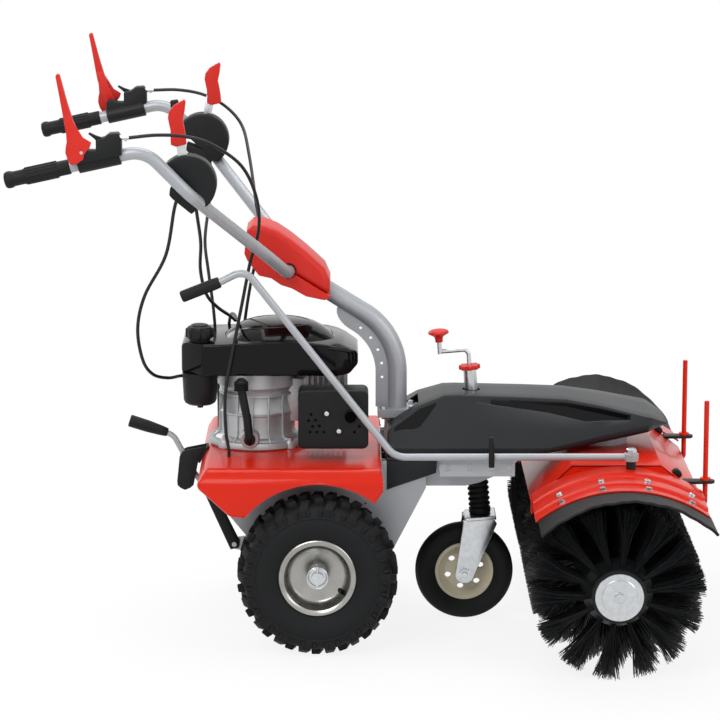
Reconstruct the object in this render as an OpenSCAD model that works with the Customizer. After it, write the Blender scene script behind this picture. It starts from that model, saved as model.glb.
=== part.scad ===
// Walk-behind power brush sweeper: two driven wheels under an engine, a caster with a height crank,
// and a swivelling brush head in front. Millimetres, +X forwards, +Y left, +Z up, on the ground at z = 0.

/* [Drive wheels] */
// Outside diameter of a drive tyre
tyre_d = 330; // [318:1:338]
// Width of a drive tyre
tyre_w = 128; // [118:1:132]
// Space between a chassis side plate and the tyre beside it
tyre_clear = 25; // [22:1:36]
// Diameter of a rim's flange
rim_d = 160; // [150:1:170]
// Diameter of the axle shaft
axle_d = 25; // [20:1:28]
// Lugs around one half of a drive tyre
lug_count = 16; // [12:1:20]
// Height of a lug above the tread
lug_h = 9; // [6:0.5:11]

/* [Chassis] */
// Height of the red deck's top
deck_z = 385; // [383:1:392]
// Width over the chassis side plates
frame_w = 330; // [310:1:336]
// Thickness of the chassis plates
plate_t = 4; // [3:0.5:6]
// Distance of the front beam's sides from the side plates
beam_inset = 15; // [11:1:21]
// Height of the underside of the beam plate
beam_z = 393; // [392:1:398]
// Thickness of the beam plate
beam_t = 6; // [4:0.5:8]
// Thickness of the red sheet metal
sheet_t = 2.5; // [2:0.5:3.5]
// Distance from the tyre to the wheel arch
arch_gap = 30; // [22:1:34]
// Thickness of the front cover's wall
cover_t = 3; // [2:0.5:4]
// Height of the front cover's top
cover_top = 498; // [492:1:506]

/* [Caster] */
// Diameter of the caster tyre
caster_d = 208; // [196:1:214]
// Width of the caster tyre
caster_w = 60; // [50:1:64]
// Lean of the caster's stem towards the rear, in degrees
caster_rake = 4.4; // [2:0.2:6]
// Diameter of the guide sleeve
sleeve_d = 28; // [26:1:32]
// Diameter of the height screw and its crank
crank_d = 10; // [8:0.5:11]
// Throw of the crank
crank_throw = 60; // [45:1:75]
// Diameter of the crank's knob
knob_d = 44; // [36:1:50]

/* [Brush head] */
// Distance from the axle to the brush
brush_x = 600; // [595:1:615]
// Diameter over the bristle tips
brush_d = 352; // [340:1:355]
// Length of the brush over both halves
brush_len = 1000; // [940:1:1040]
// Space between the two brush halves
brush_gap = 96; // [90:1:110]
// Diameter of the brush drum
drum_d = 140; // [120:1:160]
// Tufts around the brush
tufts_round = 14; // [12:1:16]
// Rows of tufts along one half
tuft_rows = 11; // [10:1:13]
// Length of the sheet hood
hood_len = 800; // [760:1:840]
// Radius of the hood's arched ends
hood_r = 291; // [288:1:296]
// Length of the flat middle of the hood
hood_mid = 470; // [464:1:500]
// Length of a rubber end flap
flap_len = 126; // [100:1:140]
// Rise of the right flap's outer edge in its middle
right_flap_rise = 12; // [0:1:40]
// Rise of the left flap's outer edge in its middle
left_flap_rise = 55; // [0:1:60]
// Diameter of a hook rod
hook_d = 10.5; // [8:0.5:12]
// Height of a hook rod's free end
hook_top = 516; // [480:1:540]
// Distance of a hook rod from the end of the hood's flat middle
hook_inset = 20; // [17:1:60]

/* [Steering] */
// Diameter of the steering rod
rod_d = 15; // [12:0.5:16]
// Distance of the steering rod from the middle plane
rod_y = 257; // [255:1:262]
// Height of the steering rod's level stretch
rod_z = 408; // [407:1:414]

/* [Handle] */
// Diameter of the column tube
column_d = 40; // [34:1:42]
// Bend radius of the column
column_bend = 150; // [130:1:160]
// Diameter of the handlebar tube
bar_d = 25; // [22:1:26]
// Diameter of a handle grip
grip_d = 35; // [32:1:38]
// Length of a handle grip
grip_len = 132; // [120:1:138]
// Distance from the middle plane to a grip
grip_y = 400; // [380:1:420]
// Length of a clutch lever above its pivot
lever_len = 163; // [140:1:180]

/* [Engine] */
// Diameter of the crankshaft
crank_shaft_d = 25; // [20:1:28]
// Pitch radius of the engine pulley
engine_pulley_r = 34; // [30:1:38]
// Pitch radius of the driven pulley
driven_pulley_r = 38; // [32:1:40]
// Diameter of the fuel cap
fuel_cap_d = 52; // [46:1:60]

/* [Hidden] */
$fn = 48;

// Clearances: a running fit's radial play, and a gap between faces
fit = 0.05;
gap = 0.3;
// How far a swept bend lies inside the round rod that it continues
sunk = 0.2;

// Colours of the finishes
red = "#d63a2b";
grey = "#a9abae";
black = "#1c1d1f";
dark = "#3a3d40";
zinc = "#c3c5c7";
cream = "#ded6bd";
alloy = "#b8b9ba";

// Ground position of the axle, so that the whole part is centred on its origin
rear_end = 614;
hook_x = brush_x + 197;
hook_front = 20;
axle_x = (rear_end - hook_x - hook_front) / 2;
module place() translate([axle_x, 0, 0]) children();

// Basic solids, given by their limits
module slab(y0, y1, outline) translate([0, y1, 0]) rotate([90, 0, 0]) linear_extrude(y1 - y0) polygon(outline);
module plate(z0, z1, outline) translate([0, 0, z0]) linear_extrude(z1 - z0) polygon(outline);
module box(x0, x1, y0, y1, z0, z1) translate([x0, y0, z0]) cube([x1 - x0, y1 - y0, z1 - z0]);
module along_x(x0, x1, y, z, d) translate([x0, y, z]) rotate([0, 90, 0]) cylinder(d = d, h = x1 - x0);
module along_y(x, z, y0, y1, d) translate([x, y0, z]) rotate([-90, 0, 0]) cylinder(d = d, h = y1 - y0);
module along_z(x, y, z0, z1, d) translate([x, y, z0]) cylinder(d = d, h = z1 - z0);
module right() children();
module left() mirror([0, 1, 0]) children();
module both() {
    right() children();
    left() children();
}

// A hexagon head with its washer, on a face at z = 0
module bolt_head(d) {
    cylinder(d = 2 * d, h = 0.2 * d);
    cylinder(d = 1.7 * d, h = 0.8 * d, $fn = 6);
}

// Paths of bent rods and cables: corners rounded by arcs, then a round section swept along
function unit(v) = v / norm(v);
function corner_arc(a, b, c, r, k) =
    let (u = unit(a - b), v = unit(c - b), half = acos(u * v) / 2)
    half > 89 ? [b] :
    let (room = 0.48 * min(norm(a - b), norm(c - b)) * tan(half))
    let (rr = r > 0 ? min(r, room) : room)
    let (start = b + u * rr / tan(half), mid = b + unit(u + v) * rr / sin(half), turn = 180 - 2 * half)
    [for (i = [0:k]) mid + rr * (cos(turn * i / k) * unit(start - mid) - sin(turn * i / k) * u)];
function rounded_path(p, r, k) =
    [p[0], for (i = [1:len(p) - 2]) each corner_arc(p[i - 1], p[i], p[i + 1], r, k), p[len(p) - 1]];
function square_to(n, t) = unit(n - (n * t) * t);
function tangents(p) = [for (i = [0:len(p) - 1]) unit(p[min(i + 1, len(p) - 1)] - p[max(i - 1, 0)])];
function normals(t) = [for (i = 0, n = square_to([0.3, 0.8, 0.52], t[0]); i < len(t);
    i = i + 1, n = i < len(t) ? square_to(n, t[i]) : n) n];
module sweep(path, d, sides) {
    t = tangents(path);
    n = normals(t);
    last = len(path) - 1;
    points = [for (i = [0:last]) for (k = [0:sides - 1])
        path[i] + d / 2 * (cos(360 * k / sides) * n[i] + sin(360 * k / sides) * cross(t[i], n[i]))];
    walls = [for (i = [0:last - 1]) for (k = [0:sides - 1])
        let (a = i * sides + k, b = i * sides + (k + 1) % sides)
        each [[a, a + sides, b], [b, a + sides, b + sides]]];
    end = last * sides;
    caps = [for (k = [1:sides - 2]) each [[0, k, k + 1], [end, end + k + 1, end + k]]];
    polyhedron(points, concat(walls, caps), 2);
}

// Heights and half widths of the chassis
axle_z = tyre_d / 2;
frame_hw = frame_w / 2;
track = frame_w + 2 * tyre_clear + tyre_w;
deck_under = deck_z - sheet_t;
deck_plate_z = deck_under - plate_t;
deck_rear = -205;
deck_front = 132;
beam_hw = frame_hw - plate_t - beam_inset;
beam_top = beam_z + beam_t;
beam_rear = 150;
bulkhead_x = 120;
bulkhead_low = 250;
swivel_d = 110;
king_d = 40;
pulley_top = deck_plate_z - 8;
pulley_h = 18;
belt_z = pulley_top - pulley_h;
belt_t = 8;
belt_window = 60;
crankshaft_x = -128;
jack_x = 400;
jack_d = 20;
post_x = 167;
post_half = 27;
post_top = 452;
bearing_d = 62;
lid_top = 650;
case_d = 168;
beam_flange = [[100, 330], [100, deck_plate_z], [beam_rear, deck_plate_z], [beam_rear, beam_z],
    [430, beam_z], [398, 356], [336, 329], [307, 322], [224, 322], [200, 322]];
beam_plan = [[beam_rear, -beam_hw], [430, -beam_hw], [brush_x - 30, -70], [brush_x, -swivel_d / 2],
    [brush_x, swivel_d / 2], [brush_x - 30, 70], [430, beam_hw], [beam_rear, beam_hw]];
side_outline = [[deck_rear, deck_plate_z], [-185, 265], [-150, 222], [-60, 112], [112, 104], [158, 194],
    [224, 322], [224, deck_plate_z]];

// The caster's leaning axis, from its foot where it passes the frame's underside
caster_foot = [338, 0, 298];
module raked() translate(caster_foot) rotate([0, -caster_rake, 0]) children();
function on_axis(z) = (z - caster_foot[2]) / cos(caster_rake);
boss_d = sleeve_d + 14;
stem_d = sleeve_d - 6;
sleeve_low = on_axis(284);
sleeve_high = on_axis(540);
boot_d = 46;
boot_low = on_axis(229);
boot_high = on_axis(322);
ring_h = 9;

// Steel weldment that carries everything
module chassis_frame() place() color(grey) difference() {
    union() {
        both() slab(frame_hw - plate_t, frame_hw, side_outline);
        box(deck_rear, deck_front, -frame_hw, frame_hw, deck_plate_z, deck_under);
        box(bulkhead_x, bulkhead_x + plate_t, -frame_hw, frame_hw, bulkhead_low, deck_plate_z + 1);
        both() slab(beam_hw - plate_t, beam_hw, beam_flange);
        plate(beam_z, beam_top, beam_plan);
        along_z(brush_x, 0, beam_z, beam_top, swivel_d);
        box(post_x - post_half, post_x + post_half, -post_half, post_half, beam_z, post_top);
        box(post_x - flange_half, post_x + flange_half, -flange_half, flange_half, post_top - flange_t,
            post_top);
        intersection() {
            raked() cylinder(d = boss_d, h = on_axis(beam_z + 1));
            box(0, brush_x, -beam_hw, beam_hw, beam_z - 30, beam_top);
        }
    }
    along_y(0, axle_z, -frame_w, frame_w, bearing_d);
    box(bulkhead_x - 1, bulkhead_x + plate_t + 1, -belt_window, belt_window, belt_z - 10, deck_plate_z);
    along_z(brush_x, 0, 0, 2 * beam_z, king_d + 2 * fit);
    along_z(jack_x, 0, 0, 2 * beam_z, jack_d + 2 * fit);
    along_z(crankshaft_x, 0, deck_plate_z - 1, deck_z, crank_shaft_d + 20);
    raked() translate([0, 0, -50]) cylinder(d = sleeve_d + 2 * fit, h = 300);
    translate([post_x, 0, post_top - 30]) column_bolt_holes(60);
    both() for (x = bearing_bolt_x) along_y(x, axle_z + bearing_bolt_z, 0, frame_w, bearing_bolt_d + 2 * gap);
}

// Red sheet body over the wheels, which is also the engine's deck
fender_hw = track / 2 + 31;
fender_top_hw = fender_hw - 34;
fender_edge_z = deck_z - 22;
fender_rear = -248;
fender_front = 141;
fender_low = 286;
fender_side = [[fender_front, 345], [fender_front - 8, deck_z], [fender_rear + 18, deck_z],
    [fender_rear, deck_z - 34], [-177, fender_low], [-100, fender_low], [100, fender_low]];
fender_inside = [[fender_front + 50, fender_low - 50], [fender_front + 50, deck_under],
    [fender_rear + 18 + sheet_t, deck_under], [fender_rear + sheet_t, deck_z - 34], [-177, fender_low - 1],
    [-177, fender_low - 50]];
fender_section = [[-fender_hw, 0], [-fender_hw, fender_edge_z], [-fender_top_hw, deck_z],
    [fender_top_hw, deck_z], [fender_hw, fender_edge_z], [fender_hw, 0]];
fender_hollow = [[-fender_hw + sheet_t, -9], [-fender_hw + sheet_t, fender_edge_z - 1],
    [-fender_top_hw + 1, deck_under], [fender_top_hw - 1, deck_under], [fender_hw - sheet_t, fender_edge_z - 1],
    [fender_hw - sheet_t, -9]];
module across(x0, x1, outline)
    translate([x0, 0, 0]) rotate([90, 0, 90]) linear_extrude(x1 - x0) polygon(outline);
module rear_fender() place() color(red) difference() {
    intersection() {
        slab(-fender_hw, fender_hw, fender_side);
        across(fender_rear - 1, fender_front + 1, fender_section);
    }
    intersection() {
        slab(-fender_hw, fender_hw, fender_inside);
        across(fender_rear - 1, fender_front + 60, fender_hollow);
    }
    both() along_y(0, axle_z, frame_hw + 5, fender_hw + 1, tyre_d + 2 * arch_gap);
    along_z(crankshaft_x, 0, deck_under - 1, deck_z + 1, crank_shaft_d + 20);
    at_engine_bolts(deck_under - 9) cylinder(d = engine_bolt_d + 2 * gap, h = 20);
    for (p = cable_inlets) along_z(p[0], p[1], deck_under - 1, deck_z + 1, cable_d + 2 * gap);
}

// Plastic cover over the beam and its drive
cover_hw = beam_hw + gap + cover_t;
cover_top_hw = 65;
cover_shoulder = 402;
cover_rear = 140;
cover_front = 733;
cover_roof = [[210, cover_top - 19], [262, cover_top - 1], [288, cover_top], [430, cover_top - 4],
    [520, cover_top - 8], [594, cover_top - 20], [700, cover_top - 43]];
cover_side = concat([[cover_rear, deck_plate_z + 3], [cover_rear + 5, 435]], cover_roof, [[cover_front, 438],
    [667, 424], [501, 396], [419, 384], [211, 376]]);
cover_inside = concat([[cover_rear + cover_t, 300], [cover_rear + 5 + cover_t, 435 - cover_t]],
    [for (p = cover_roof) p - [0, cover_t]], [[cover_front - 2 * cover_t, 432],
    [cover_front - 2 * cover_t, 300]]);
skirt_y = frame_hw + gap;
skirt_side = [[143, deck_plate_z + 0.5], [247, deck_plate_z + 0.5], [245, 354], [158, 324], [143, 318]];
function cover_section(t) = [[-cover_hw + t, 290], [-cover_hw + t, cover_shoulder],
    [-cover_top_hw + t, cover_top], [-cover_top_hw + t, cover_top + 9], [cover_top_hw - t, cover_top + 9],
    [cover_top_hw - t, cover_top],
    [cover_hw - t, cover_shoulder], [cover_hw - t, 290]];
function cover_plan(t) = [[cover_rear - 1, -cover_hw + t], [480, -cover_hw + t], [690, -112 + t],
    [cover_front + 1, -60 + t], [cover_front + 1, 60 - t], [690, 112 - t], [480, cover_hw - t],
    [cover_rear - 1, cover_hw - t]];
module front_cover() place() color(dark) difference() {
    union() {
        intersection() {
            slab(-cover_hw, cover_hw, cover_side);
            across(cover_rear - 1, cover_front + 1, cover_section(0));
            plate(290, cover_top + 9, cover_plan(0));
        }
        both() slab(skirt_y, skirt_y + cover_t, skirt_side);
        both() box(143, 247, cover_hw - cover_t, skirt_y + cover_t, deck_plate_z + 0.5, deck_plate_z + 6);
    }
    intersection() {
        slab(-cover_hw, cover_hw, cover_inside);
        across(cover_rear - 1, cover_front + 1, cover_section(cover_t));
        plate(290, cover_top + 9, cover_plan(cover_t));
    }
    box(cover_rear - 1, post_x + flange_half + 2, -flange_half - 2, flange_half + 2, beam_z - 30,
        cover_top + 9);
    raked() cylinder(d = sleeve_d + 2 * gap, h = 300);
}

// Bent tube from the frame to the handlebar clamp, with its holed web and base flange
flange_half = 42;
flange_t = 8;
column_slope = 32;
column_turn = 90 - column_slope;
column_low = post_top + flange_t;
column_end = 164;
column_end_d = column_d - 1;
column_mid_x = post_x - column_bend;
clamp_base_x = column_mid_x + column_bend * cos(column_turn);
bar_x = -60;
clamp_lift = 34;
clamp_drop = 76;
bar_z = lid_top + clamp_lift + clamp_drop;
split = tan(column_slope);
function split_z(x) = bar_z + (bar_x - x) * split;
column_knee = split_z(clamp_base_x) - column_bend * sin(column_turn);
web_t = 5;
web_w = 26;
web_hole_d = 6;
column_bolt = 30;
column_bolt_d = 8;
module column_bolt_holes(h) for (x = [-1, 1]) for (y = [-1, 1])
    translate([x * column_bolt, y * column_bolt, 0]) cylinder(d = column_bolt_d + 2 * gap, h = h);
module column_axis_end() translate([column_mid_x, 0, column_knee]) rotate([0, -column_turn, 0])
    translate([column_bend, 0, 0]) children();
module handle_column() place() color(grey) difference() {
    union() {
        translate([post_x, 0, post_top]) difference() {
            translate([-flange_half, -flange_half, 0]) cube([2 * flange_half, 2 * flange_half, flange_t]);
            translate([0, 0, -1]) column_bolt_holes(flange_t + 2);
        }
        along_z(post_x, 0, column_low - 1, column_knee, column_d);
        translate([column_mid_x, 0, column_knee]) rotate([90, 0, 0])
            rotate_extrude(angle = column_turn) translate([column_bend, 0]) circle(d = column_d);
        column_axis_end() translate([0, 0, -2]) cylinder(d = column_end_d, h = column_end + 2);
        translate([column_mid_x, web_t / 2, column_knee]) rotate([90, 0, 0])
            rotate_extrude(angle = column_turn) translate([column_bend - column_d / 2 - web_w, 0])
            square([web_w + 4, web_t]);
        box(post_x - column_d / 2 - web_w, post_x, -web_t / 2, web_t / 2, column_low, column_knee);
        column_axis_end() slab(-web_t / 2, web_t / 2, [for (a = [0:15:90])
            [-column_d / 2 + 4 - (web_w + 4) * cos(a), 8 + 46 * sin(a)], [-column_d / 2 + 4, -1],
            [-column_d / 2 - web_w, -1]]);
    }
    for (i = [0:4]) translate([column_mid_x, 0, column_knee]) rotate([0, -column_turn * (i - 0.4) / 4, 0])
        along_y(column_bend - column_d / 2 - 0.45 * web_w, 0, -web_t, web_t, web_hole_d);
}

// Two red shells that hold the column's end and the handlebar
clamp_hw = 62;
clamp_front = bar_x + 86;
clamp_rear = bar_x - 90;
clamp_low = bar_z - clamp_drop;
clamp_top = [[clamp_front, split_z(clamp_front)], [clamp_front, bar_z - 8], [bar_x + 22, bar_z + 60],
    [bar_x - 57, bar_z + 102], [bar_x - 82, bar_z + 90], [clamp_rear, split_z(clamp_rear)]];
clamp_under = [[clamp_front, split_z(clamp_front)], [clamp_rear, split_z(clamp_rear)],
    [clamp_rear - 3, bar_z + 12], [bar_x - 52, bar_z - 29], [bar_x - 10, bar_z - 44], [bar_x + 30, bar_z - 60],
    [bar_x + 65, clamp_low], [clamp_front, clamp_low]];
module clamp_bores() {
    column_axis_end() cylinder(d = column_end_d + 2 * fit, h = column_end + 3);
    along_y(bar_x, bar_z, -clamp_hw - 1, clamp_hw + 1, bar_d + 2 * fit);
    both() along_y(bar_x, bar_z, clamp_hw - 16, clamp_hw + 1, bar_d + 8);
}
module clamp_upper_shell() place() color(red) difference() {
    slab(-clamp_hw, clamp_hw, clamp_top);
    clamp_bores();
}
module clamp_lower_shell() place() color(red) difference() {
    slab(-clamp_hw, clamp_hw, clamp_under);
    clamp_bores();
}

// One tube bent into a U, with a straight end for each grip
grip_slope = 12.3;
bar_rise = 238;
bar_end = [-rear_end + 10, -grip_y, bar_z + bar_rise];
function on_grip(s) = bar_end + s * [cos(grip_slope), 0, sin(grip_slope)];
bar_knee = on_grip(275);
bar_half = [bar_end, bar_knee, [-250, -grip_y + 10, bar_z + bar_rise - 30], [bar_x - 45, -190, bar_z + 55],
    [bar_x, -clamp_hw - 32, bar_z], [bar_x, -20, bar_z]];
function flip(p) = [p[0], -p[1], p[2]];
bar_points = concat(bar_half, [for (i = [len(bar_half) - 1:-1:0]) flip(bar_half[i])]);
module handlebar() place() color(grey) sweep(rounded_path(bar_points, 60, 4), bar_d, 16);

// Rubber sleeves on the handlebar's ends
grip_ribs = 14;
grip_flutes = 36;
module on_bar(s) translate(on_grip(s)) rotate([0, 90 - grip_slope, 0]) children();
module grip() difference() {
    union() {
        on_bar(-6) cylinder(d = grip_d - 5, h = grip_len);
        on_bar(-6) cylinder(d = grip_d - 1, h = 16);
        on_bar(grip_flutes) linear_extrude(grip_len / 2) polygon([for (i = [0:2 * grip_ribs - 1])
            let (a = 180 * i / grip_ribs, r = grip_d / 2 - (i % 2 == 0 ? 0 : 1.6)) r * [cos(a), sin(a)]]);
    }
    on_bar(0) cylinder(d = bar_d + 2 * fit, h = grip_len);
}
module handle_grips() place() color(black) both() grip();

// Brackets that carry the clutch levers, clamped on the bar ahead of the grips
bracket_s = 150;
bracket_len = 76;
lever_t = 8;
lever_y = -grip_y - 15;
pivot_d = 8;
lever_pivot = on_grip(bracket_s + 6) + [-5, 0, 24];
latch_pivot = lever_pivot + [36, 0, 20];
latch_t = 6;
bracket_side = [[-10, -24], [-10, 6], [4, 10], [14, 4], [28, 4], [28, 25], [44, 29], [54, 37], [72, 38],
    [78, 26], [78, -6]];
function from_pivot(list) = [for (p = list) [lever_pivot[0] + p[0], lever_pivot[2] + p[1]]];
module lever_bracket() difference() {
    union() {
        on_bar(bracket_s - 8) cylinder(d = bar_d + 10, h = bracket_len + 8);
        slab(lever_y - lever_t / 2 - 5, -grip_y + 9, from_pivot(bracket_side));
    }
    on_bar(bracket_s - 9) cylinder(d = bar_d + 2 * fit, h = bracket_len + 21);
    difference() {
        slab(lever_y - lever_t / 2 - gap, lever_y + lever_t / 2 + gap,
            [[lever_pivot[0] - 30, lever_pivot[2] - 15], [lever_pivot[0] - 30, lever_pivot[2] + 40],
            [lever_pivot[0] + 52, lever_pivot[2] + 60], [lever_pivot[0] + 52, lever_pivot[2] + 8],
            [lever_pivot[0] + 17, lever_pivot[2] - 15]]);
        along_y(lever_pivot[0], lever_pivot[2], lever_y - 9, lever_y + 9, pivot_d);
        along_y(latch_pivot[0], latch_pivot[2], lever_y - 9, lever_y + 9, pivot_d - 2);
    }
    adjuster_hole();
}
adjuster_d = 9;
adjuster_x = lever_pivot[0] + 70;
adjuster_z = lever_pivot[2] + 28;
module adjuster_hole() along_x(adjuster_x - 8, adjuster_x + 30, lever_y, adjuster_z, adjuster_d + 2 * fit);
module lever_brackets() place() color(black) both() lever_bracket();

// Red levers that are squeezed down towards the grips
cheek_in = -lever_t / 2 - 5 - gap;
cheek_out = cheek_in - 4;
lever_blade = [[-48, lever_len - 13], [-45, lever_len - 9], [-40, lever_len - 10], [-26, 98], [-15, 61],
    [-8, 46], [-30, 46], [-34, 68], [-41, 110]];
lever_foot = [[-20, 74], [-15, 61], [-3, 41], [4, 30], [20, 20], [17, 11], [6, -3], [4, -13], [-9, -22],
    [-20, -24], [-27, -13], [-31, 0], [-30, 12], [-28, 21], [-29, 38], [-34, 68]];
module clutch_lever() translate([lever_pivot[0], lever_y, lever_pivot[2]]) difference() {
    union() {
        slab(-lever_t / 2, lever_t / 2, [[-9, -9], [7, -9], [9, 0], [7, 9], [-6, 34], [-18, 70], [-34, 68],
            [-25, 30], [-19, 10]]);
        slab(cheek_out, lever_t / 2, lever_blade);
        slab(cheek_out, cheek_in, lever_foot);
    }
    along_y(0, 0, -lever_t, lever_t, pivot_d + 2 * fit);
}
module right_clutch_lever() place() color(red) right() clutch_lever();
module left_clutch_lever() place() color(red) left() clutch_lever();

// Small thumb latches that hold a squeezed lever
module lever_latch() translate([latch_pivot[0], lever_y, latch_pivot[2]]) difference() {
    slab(-latch_t / 2, latch_t / 2, [[-6, -5], [5, -6], [8, 2], [4, 9], [-8, 13], [-20, 19],
        [-23, 16], [-12, 7], [-7, 2]]);
    along_y(0, 0, -latch_t, latch_t, pivot_d - 2 + 2 * fit);
}
module right_lever_latch() place() color(black) right() lever_latch();
module left_lever_latch() place() color(black) left() lever_latch();

// Half-disc pods on the inner sides of the bars, with slots for their levers
pod_x = -254;
pod_z = bar_z + bar_rise - 14;
pod_r = 58;
pod_y0 = -grip_y + 32;
pod_y1 = pod_y0 + 48;
pod_tilt = 43;
blade_t = 4;
gear_y = pod_y0 + 16;
throttle_y = pod_y0 + 36;
pod_pin_d = 10;
module pod_slot(y, t, lean) difference() {
    union() {
        along_y(pod_x, pod_z, y - t / 2 - gap, y + t / 2 + gap, 27);
        translate([pod_x, y, pod_z]) rotate([0, -lean, 0]) slab(-t / 2 - gap, t / 2 + gap,
            [[-13, 0], [13, 0], [60, 80], [-60, 80]]);
    }
    along_y(pod_x, pod_z, pod_y0, pod_y1, pod_pin_d);
}
module control_pod(lean) difference() {
    translate([pod_x, pod_y1, pod_z]) rotate([90, pod_tilt, 0]) linear_extrude(pod_y1 - pod_y0) intersection() {
        circle(r = pod_r);
        translate([-pod_r, -16]) square([2 * pod_r, 2 * pod_r]);
    }
    pod_slot(gear_y, blade_t, lean);
    handlebar_bore();
}
module pod_stay() difference() {
    along_y(pod_x - 8, pod_z - 14, -grip_y + 6, pod_y0 + 1, 16);
    handlebar_bore();
}
module handlebar_bore() sweep(rounded_path(bar_points, 60, 4), bar_d + 2 * gap, 16);
module control_pods() place() color(black) {
    difference() {
        union() {
            control_pod(gear_lean);
            pod_stay();
        }
        pod_slot(throttle_y, blade_t, gear_lean);
    }
    left() {
        control_pod(left_gear_lean);
        pod_stay();
    }
}

// Gear levers: a steel blade with a red handle on its end
gear_lean = 9;
left_gear_lean = -11;
handle_z = 121;
module gear_lever(lean) translate([pod_x, gear_y, pod_z]) difference() {
    union() {
        rotate([0, -lean, 0]) slab(-blade_t / 2, blade_t / 2, [[-9, -9], [9, -9], [9, 96], [-9, 96]]);
        translate([-handle_z * sin(lean), 0, 0]) slab(-8, 8, [[14, 167], [-7, 155], [-16, 143], [-18, 131],
            [-13, 106], [-13, 78], [-3, 74], [18, 79], [16, 100], [11, 127], [15, 146], [17, 163]]);
    }
    along_y(0, 0, -9, 9, pod_pin_d + 2 * fit);
}
module right_gear_lever() place() color(red) right() gear_lever(gear_lean);
module left_gear_lever() place() color(red) left() gear_lever(left_gear_lean);
module throttle_lever() place() color(black) translate([pod_x, throttle_y, pod_z]) rotate([0, -gear_lean, 0])
    difference() {
        union() {
            slab(-blade_t / 2, blade_t / 2, [[-9, -9], [9, -9], [5, 150], [-5, 150]]);
            slab(-5, 5, [[-10, 128], [10, 128], [8, 166], [-8, 166]]);
        }
        along_y(0, 0, -9, 9, pod_pin_d + 2 * fit);
    }

// Control cables along their real routes
cable_d = 7;
cable_inlets = [[-184, -150], [-165, 133], [-190, 133], [-215, 133]];
cable_end = deck_under + 0.5;
clutch_start = [adjuster_x + 22 + gap, lever_y, adjuster_z];
right_clutch_route = [clutch_start, [-310, -412, 1088], [-255, -388, 1082], [-205, -356, 1062],
    [-150, -280, 1010], [-122, -228, 940], [-118, -195, 870], [-136, -178, 800], [-152, -165, 720],
    [-172, -155, 620], [-190, -150, 520], [-190, -150, 440], [-184, -150, 400], [-184, -150, cable_end]];
left_clutch_route = [flip(clutch_start), [-310, 412, 1084], [-255, 394, 1076], [-205, 376, 1052],
    [-168, 340, 1014], [-150, 255, 960], [-134, 150, 880], [-124, 133, 800], [-145, 135, 700],
    [-160, 133, 600], [-165, 133, 500], [-165, 133, 430], [-165, 133, cable_end]];
gear_route = [[-240, -340, 945], [-236, -325, 910], [-232, -285, 855], [-236, -222, 790], [-226, -192, 735],
    [-205, -150, 700], [-180, -100, 672], [-172, -40, 652], [-176, 40, 648], [-186, 105, 638], [-192, 132, 606],
    [-191, 133, 540], [-190, 133, 440], [-190, 133, cable_end]];
throttle_route = [[-268, throttle_y, 972], [-282, -322, 930], [-304, -255, 825], [-350, -212, 735],
    [-366, -200, 665], [-358, -185, 598], [-340, -150, 560], [-312, -92, 540], [-284, -24, 531], [-248, -6, 526],
    [crankshaft_x - case_d / 2 - gap, 0, 524]];
left_gear_route = [[-240, 340, 945], [-234, 318, 900], [-238, 250, 850], [-244, 185, 785], [-236, 160, 720],
    [-225, 140, 640], [-218, 134, 540], [-215, 133, 440], [-215, 133, cable_end]];
module cable(route) sweep(rounded_path(route, 0, 2), cable_d, 8);
module control_cables() place() color(black) {
    cable(right_clutch_route);
    cable(left_clutch_route);
    cable(gear_route);
    cable(throttle_route);
    cable(left_gear_route);
}

// Engine block: round crankcase on the deck, finned cylinder towards the front
case_foot_d = 208;
case_top = 548;
case_foot_h = 16;
engine_bolt_d = 8;
engine_bolt = 68;
module at_engine_bolts(z) for (x = [-1, 1]) for (y = [-1, 1])
    translate([crankshaft_x + x * engine_bolt, y * engine_bolt, z]) children();
module crankcase() place() color(alloy) difference() {
    union() {
        along_z(crankshaft_x, 0, deck_z, case_top, case_d);
        along_z(crankshaft_x, 0, deck_z, deck_z + case_foot_h, case_foot_d);
        along_y(oil_x, oil_boss_z, -oil_face, -60, 40);
        box(crankshaft_x, barrel_rear, -barrel_hw + 12, barrel_hw - 12, barrel_low + 12, barrel_top - 12);
    }
    along_z(crankshaft_x, 0, deck_z - 1, case_top + 1, crank_shaft_d + 2 * fit);
    at_engine_bolts(deck_z - 1) cylinder(d = engine_bolt_d + 2 * fit, h = case_foot_h + 2);
}
barrel_rear = -30;
barrel_hw = 50;
barrel_low = 424;
barrel_top = 540;
barrel_end = 62;
plug_z = 490;
fin_count = 7;
fin_t = 4;
module finned_cylinder() place() color(alloy) difference() {
    union() {
        box(barrel_rear, barrel_end - 4, -barrel_hw + 12, barrel_hw - 12, barrel_low + 12, barrel_top - 12);
        for (i = [0:fin_count - 1]) let (x = barrel_rear + 6 + i * (barrel_end - barrel_rear - 14) / fin_count)
            box(x, x + fin_t, -barrel_hw, barrel_hw, barrel_low, barrel_top);
        box(barrel_end - 8, barrel_end, -barrel_hw, barrel_hw, barrel_low, barrel_top);
    }
    along_x(barrel_end - 12, barrel_end + 1, -20, plug_z, plug_thread + 2 * fit);
}
plug_thread = 14;
module spark_plug() place() color(black) {
    along_x(barrel_end - 10, barrel_end, -20, plug_z, plug_thread);
    along_x(barrel_end, barrel_end + 8, -20, plug_z, 22);
    along_x(barrel_end + 8, barrel_end + 40, -20, plug_z, 16);
}

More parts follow.
